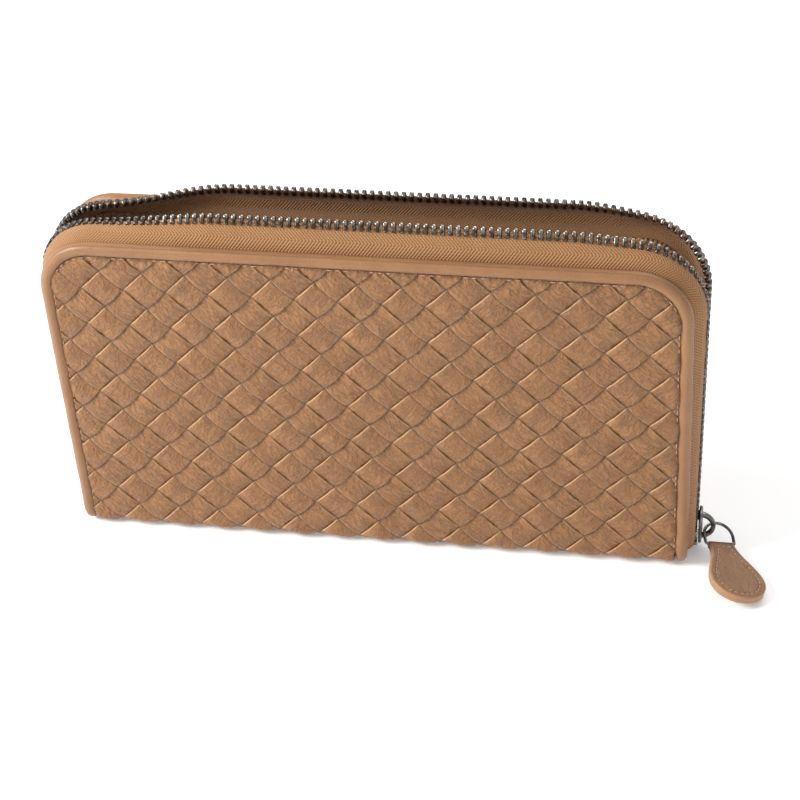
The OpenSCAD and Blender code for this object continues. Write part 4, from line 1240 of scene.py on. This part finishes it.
def sewn_panel(name, place, half_w, y0, t, low, high, materials, seam=True, nx=64, nz=26):
    """An upright panel from depth y0 to y0 + t with a thick turned top edge, a crease below it, and a sewn
    line down its middle. place carries a point drawn upright to where it belongs."""
    points, faces, lay, rub = [], [], [], []
    heights = sorted(set([low + (high - low) * j / nz for j in range(nz + 1)]
                         + [high - a * mm for a in (0.1, 0.25, 0.5, 0.9, 1.3, 1.6, 1.8, 2.0, 2.4, 2.7)]))
    widths = sorted(set([half_w * (2 * i / nx - 1) for i in range(nx + 1)]
                        + [a * b * mm for a in (-1, 1) for b in (0.3, 0.6, 0.9, 1.4)]
                        + [a * (half_w - b * mm) for a in (-1, 1) for b in (0.12, 0.3, 0.7)]))
    for face in (0, 1):
        for v in heights:
            for x in widths:
                edge = min(half_w - abs(x), high - v, v - low)
                tuck = t * 0.5 * (1 - math.sqrt(max(0, 1 - max(0, 1 - edge / (t * 0.7)) ** 2)))
                wave = 0.07 * mm * noise.noise(Vector((x * 45, v * 45, y0 * 900)))
                crease = 0.0
                if face:
                    crease = -0.11 * mm * math.exp(-((high - v - 2.0 * mm) / (0.28 * mm)) ** 2)
                    if seam:
                        valley_x = math.exp(-(x / (0.5 * mm)) ** 2)
                        crease -= 0.16 * mm * valley_x * smooth((high - v) / (1 * mm))
                depth = y0 + tuck if face == 0 else y0 + t - tuck + crease + (wave if edge > 1 * mm else 0)
                points.append(place(x, min(depth, y0 + t) if face else depth, v))
                lay.append((x, v, y0))
                rub.append(0.55 * math.exp(-((high - v) / (0.35 * mm)) ** 2))
    thick_sheet(faces, len(heights), len(widths), (place(0, 1, 0) - place(0, 0, 0)).y < 0)
    leather_count = len(faces)
    if seam:
        bed = y0 + t - 0.10 * mm
        path = [place(0, bed, high - 2.2 * mm), place(0, bed, max(low, high - 40 * mm))]
        stitches(path, 2.6 * mm, 1.7 * mm, 0.13 * mm, points, faces, lay, rub)
    which = [0] * leather_count + [1] * (len(faces) - leather_count)
    return piece(name, points, faces, [materials, stitch_thread], {"lay": lay, "rub": rub}, which)


for side, cover in ((-1, "front"), (1, "back")):
    def on_cover(x, depth, v, side=side):
        return stand(x, depth, v, side)
    pocket = sewn_panel(cover + "_note_pocket", on_cover, 85.5 * mm, 3.45 * mm, 0.6 * mm, 9 * mm, 88 * mm,
                        pocket_leather, seam=False)
    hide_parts(cover + "_bill_pocket")
    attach(pocket, cover + "_cover")
    for row in (1, 2, 3, 4):
        depth = (3.45 + 0.6 + (4 - row) * 0.75 + 0.15) * mm
        slot = sewn_panel(cover + f"_slot_row_{row}", on_cover, 84.5 * mm, depth, 0.6 * mm, 10 * mm,
                          (82 - (4 - row) * 8) * mm, pocket_leather)
        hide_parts(cover + f"_card_slot_{row}")
        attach(slot, cover + "_cover")

# ---------------------------------------------------------------------------------------------------------
# The coin pocket and the spine's lining.
# A box of lining leather that stands along the middle of the spine: two walls with turned top edges, two
# narrow sides and a floor, over a strip that lines the spine.
# ---------------------------------------------------------------------------------------------------------
def upright(x, depth, v):
    return Vector((x, depth, v))


def upside(x, depth, v):
    return Vector((x, -depth, v))


coin_half, coin_w, coin_top, coin_foot, wall_t = 4.45 * mm, 165 * mm, 87 * mm, 2.45 * mm, 0.9 * mm
for name, place, cad in (("coin_wall_front", upside, "coin_front_wall"),
                         ("coin_wall_back", upright, "coin_back_wall")):
    wall = sewn_panel(name, place, coin_w / 2, coin_half - wall_t, wall_t, coin_foot + wall_t, coin_top,
                      lining_leather, seam=False)
    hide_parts(cad)
    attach(wall, "spine")
for name, sign, cad in (("coin_end_left", -1, "coin_left_side"), ("coin_end_right", 1, "coin_right_side")):
    def endwise(x, depth, v, sign=sign):
        return Vector((sign * depth, x, v))
    end_wall = sewn_panel(name, endwise, 3.5 * mm, coin_w / 2 - wall_t, wall_t, coin_foot + wall_t, coin_top,
                          lining_leather, seam=False, nx=8)
    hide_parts(cad)
    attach(end_wall, "spine")


def flat_down(x, depth, v):
    return Vector((x, v, depth))


floor_piece = sewn_panel("coin_pocket_floor", flat_down, coin_w / 2, coin_foot, wall_t - 0.05 * mm,
                         -coin_half, coin_half, lining_leather, seam=False, nz=8)
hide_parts("coin_floor")
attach(floor_piece, "spine")
spine_strip = sewn_panel("spine_lining_strip", flat_down, 92.4 * mm, 1.6 * mm, 0.8 * mm, -7.8 * mm, 7.8 * mm,
                         lining_leather, seam=False, nz=10)
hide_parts("spine_lining")
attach(spine_strip, "spine")

# ---------------------------------------------------------------------------------------------------------
# The coin pocket's zip.
# A finer zip laid flat across the pocket's mouth: two narrow twill tapes, small metal teeth, a slider of
# two plates and a slim metal pull.
# ---------------------------------------------------------------------------------------------------------
coin_zip_w, coin_tape_z, coin_root = 161.2 * mm, 84.5 * mm, 2.3 * mm
fine_cloth = tape_cloth("fine_zip_cloth", (0.40, 0.215, 0.100), (0.22, 0.110, 0.050), 0.0012, 12000)
small_metal = metal("small_tooth_metal", (0.08, 0.07, 0.06), (0.62, 0.58, 0.53), rub="crest")
for sign, cad in ((-1, "front"), (1, "back")):
    points, faces, lay = [], [], []
    ways, stations = 8, 120
    inner, band = coin_root - 0.3 * mm, 1.5 * mm
    section = ([(inner + band * i / (ways - 1), 0.25 * mm) for i in range(ways)]
               + [(inner + band * (1 - i / (ways - 1)), -0.25 * mm) for i in range(ways)])
    for j in range(stations + 1):
        x = (j / stations - 0.5) * coin_zip_w
        for i, (y, up) in enumerate(section):
            y = min(y, 3.5 * mm)
            sag = 0.05 * mm * noise.noise(Vector((x * 120, sign, 0)))
            points.append(Vector((x, sign * y, coin_tape_z + up + sag)))
            lay.append((x, y, 0.0))
    n = len(section)
    for j in range(stations):
        for i in range(n):
            k = (i + 1) % n
            q = [j * n + i, j * n + k, (j + 1) * n + k, (j + 1) * n + i]
            faces.append(q if sign > 0 else q[::-1])
    faces.append(list(range(n)))
    faces.append([stations * n + i for i in range(n)][::-1])
    fine_tape = piece(f"coin_tape_{cad}_cloth", points, faces, [fine_cloth], {"lay": lay})
    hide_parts(f"coin_{cad}_tape")
    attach(fine_tape, "spine")
    points, faces, crest = [], [], []
    count = int((coin_zip_w - 8 * mm) / (2 * mm))
    shift = 0 if sign < 0 else 1 * mm
    for i in range(count):
        x = (i - (count - 1) / 2) * 2 * mm + shift
        first = len(points)
        for p, c in zip(tooth_points, tooth_crest):
            points.append(Vector((x + p.x * 0.62, sign * (0.9 * mm - p.y * 0.46),
                                  coin_tape_z + p.z * 0.62)))
            crest.append(c * 0.8)
        for f in tooth_faces:
            g = [first + k for k in f]
            faces.append(g if sign > 0 else g[::-1])
    small_row = piece(f"coin_{cad}_row", points, faces, [small_metal], {"crest": crest})
    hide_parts(f"coin_{cad}_teeth")
    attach(small_row, "spine")
small_slider_metal = metal("small_slider_metal", (0.06, 0.055, 0.05), (0.5, 0.48, 0.45), base_rub=0.45)
for name in ("coin_zip_slider", "coin_zip_pull"):
    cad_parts[name].data.materials.clear()
    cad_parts[name].data.materials.append(small_slider_metal)

# ---------------------------------------------------------------------------------------------------------
# The gussets.
# A strip of lining leather at each end of each compartment, folded outward once like a bellows and glued
# to the cover's lining and to the coin pocket's wall, so that the compartment opens.
# ---------------------------------------------------------------------------------------------------------
gusset_foot, gusset_rise, gusset_x, cover_t = 9 * mm, 77 * mm, 85.9 * mm, 3.3 * mm
for side, cover in ((-1, "front"), (1, "back")):
    for end, hand in ((-1, "left"), (1, "right")):
        points, faces, lay, rub = [], [], [], []
        folds, levels = 20, 30
        heights = [gusset_foot + gusset_rise * j / levels for j in range(levels + 1)]
        for face in (0, 1):
            for v in heights:
                a = stand(0, cover_t + 0.12 * mm, v, side)
                for i in range(folds + 1):
                    t = i / folds
                    uneven_fold = 1 + 0.08 * noise.noise(Vector((v * 80, t * 3, side)))
                    bow = math.sin(math.pi * t) ** 0.8 * 3.0 * mm * uneven_fold
                    x = gusset_x + bow + face * 0.6 * mm
                    y = a.y + (side * coin_half - a.y) * t
                    points.append(Vector((end * x, y, a.z)))
                    lay.append((t * 8 * mm, v, 0.0))
                    rub.append(0.5 * math.exp(-((t - 0.5) / 0.08) ** 2))
        flip = (end > 0) == (side > 0)
        thick_sheet(faces, levels + 1, folds + 1, not flip)
        # a flap at its inner end lies on the coin pocket's wall, where it is glued
        first = len(points)
        across = [(86.5, 4.47), (86.2, 4.75), (84.0, 4.76), (79.6, 4.76), (79.3, 4.62), (79.5, 4.47),
                  (84.0, 4.47)]
        for v in heights:
            a = stand(0, cover_t, v, side)
            for x, y in across:
                points.append(Vector((end * x * mm, side * y * mm, a.z)))
                lay.append((x * mm, a.z, 0.0))
                rub.append(0.0)
        bar_skin(faces, first, levels + 1, len(across), flip)
        bellows = piece(f"{cover}_{hand}_bellows", points, faces, [lining_leather], {"lay": lay, "rub": rub})
        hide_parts(f"{cover}_{hand}_gusset")
        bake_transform(bellows)
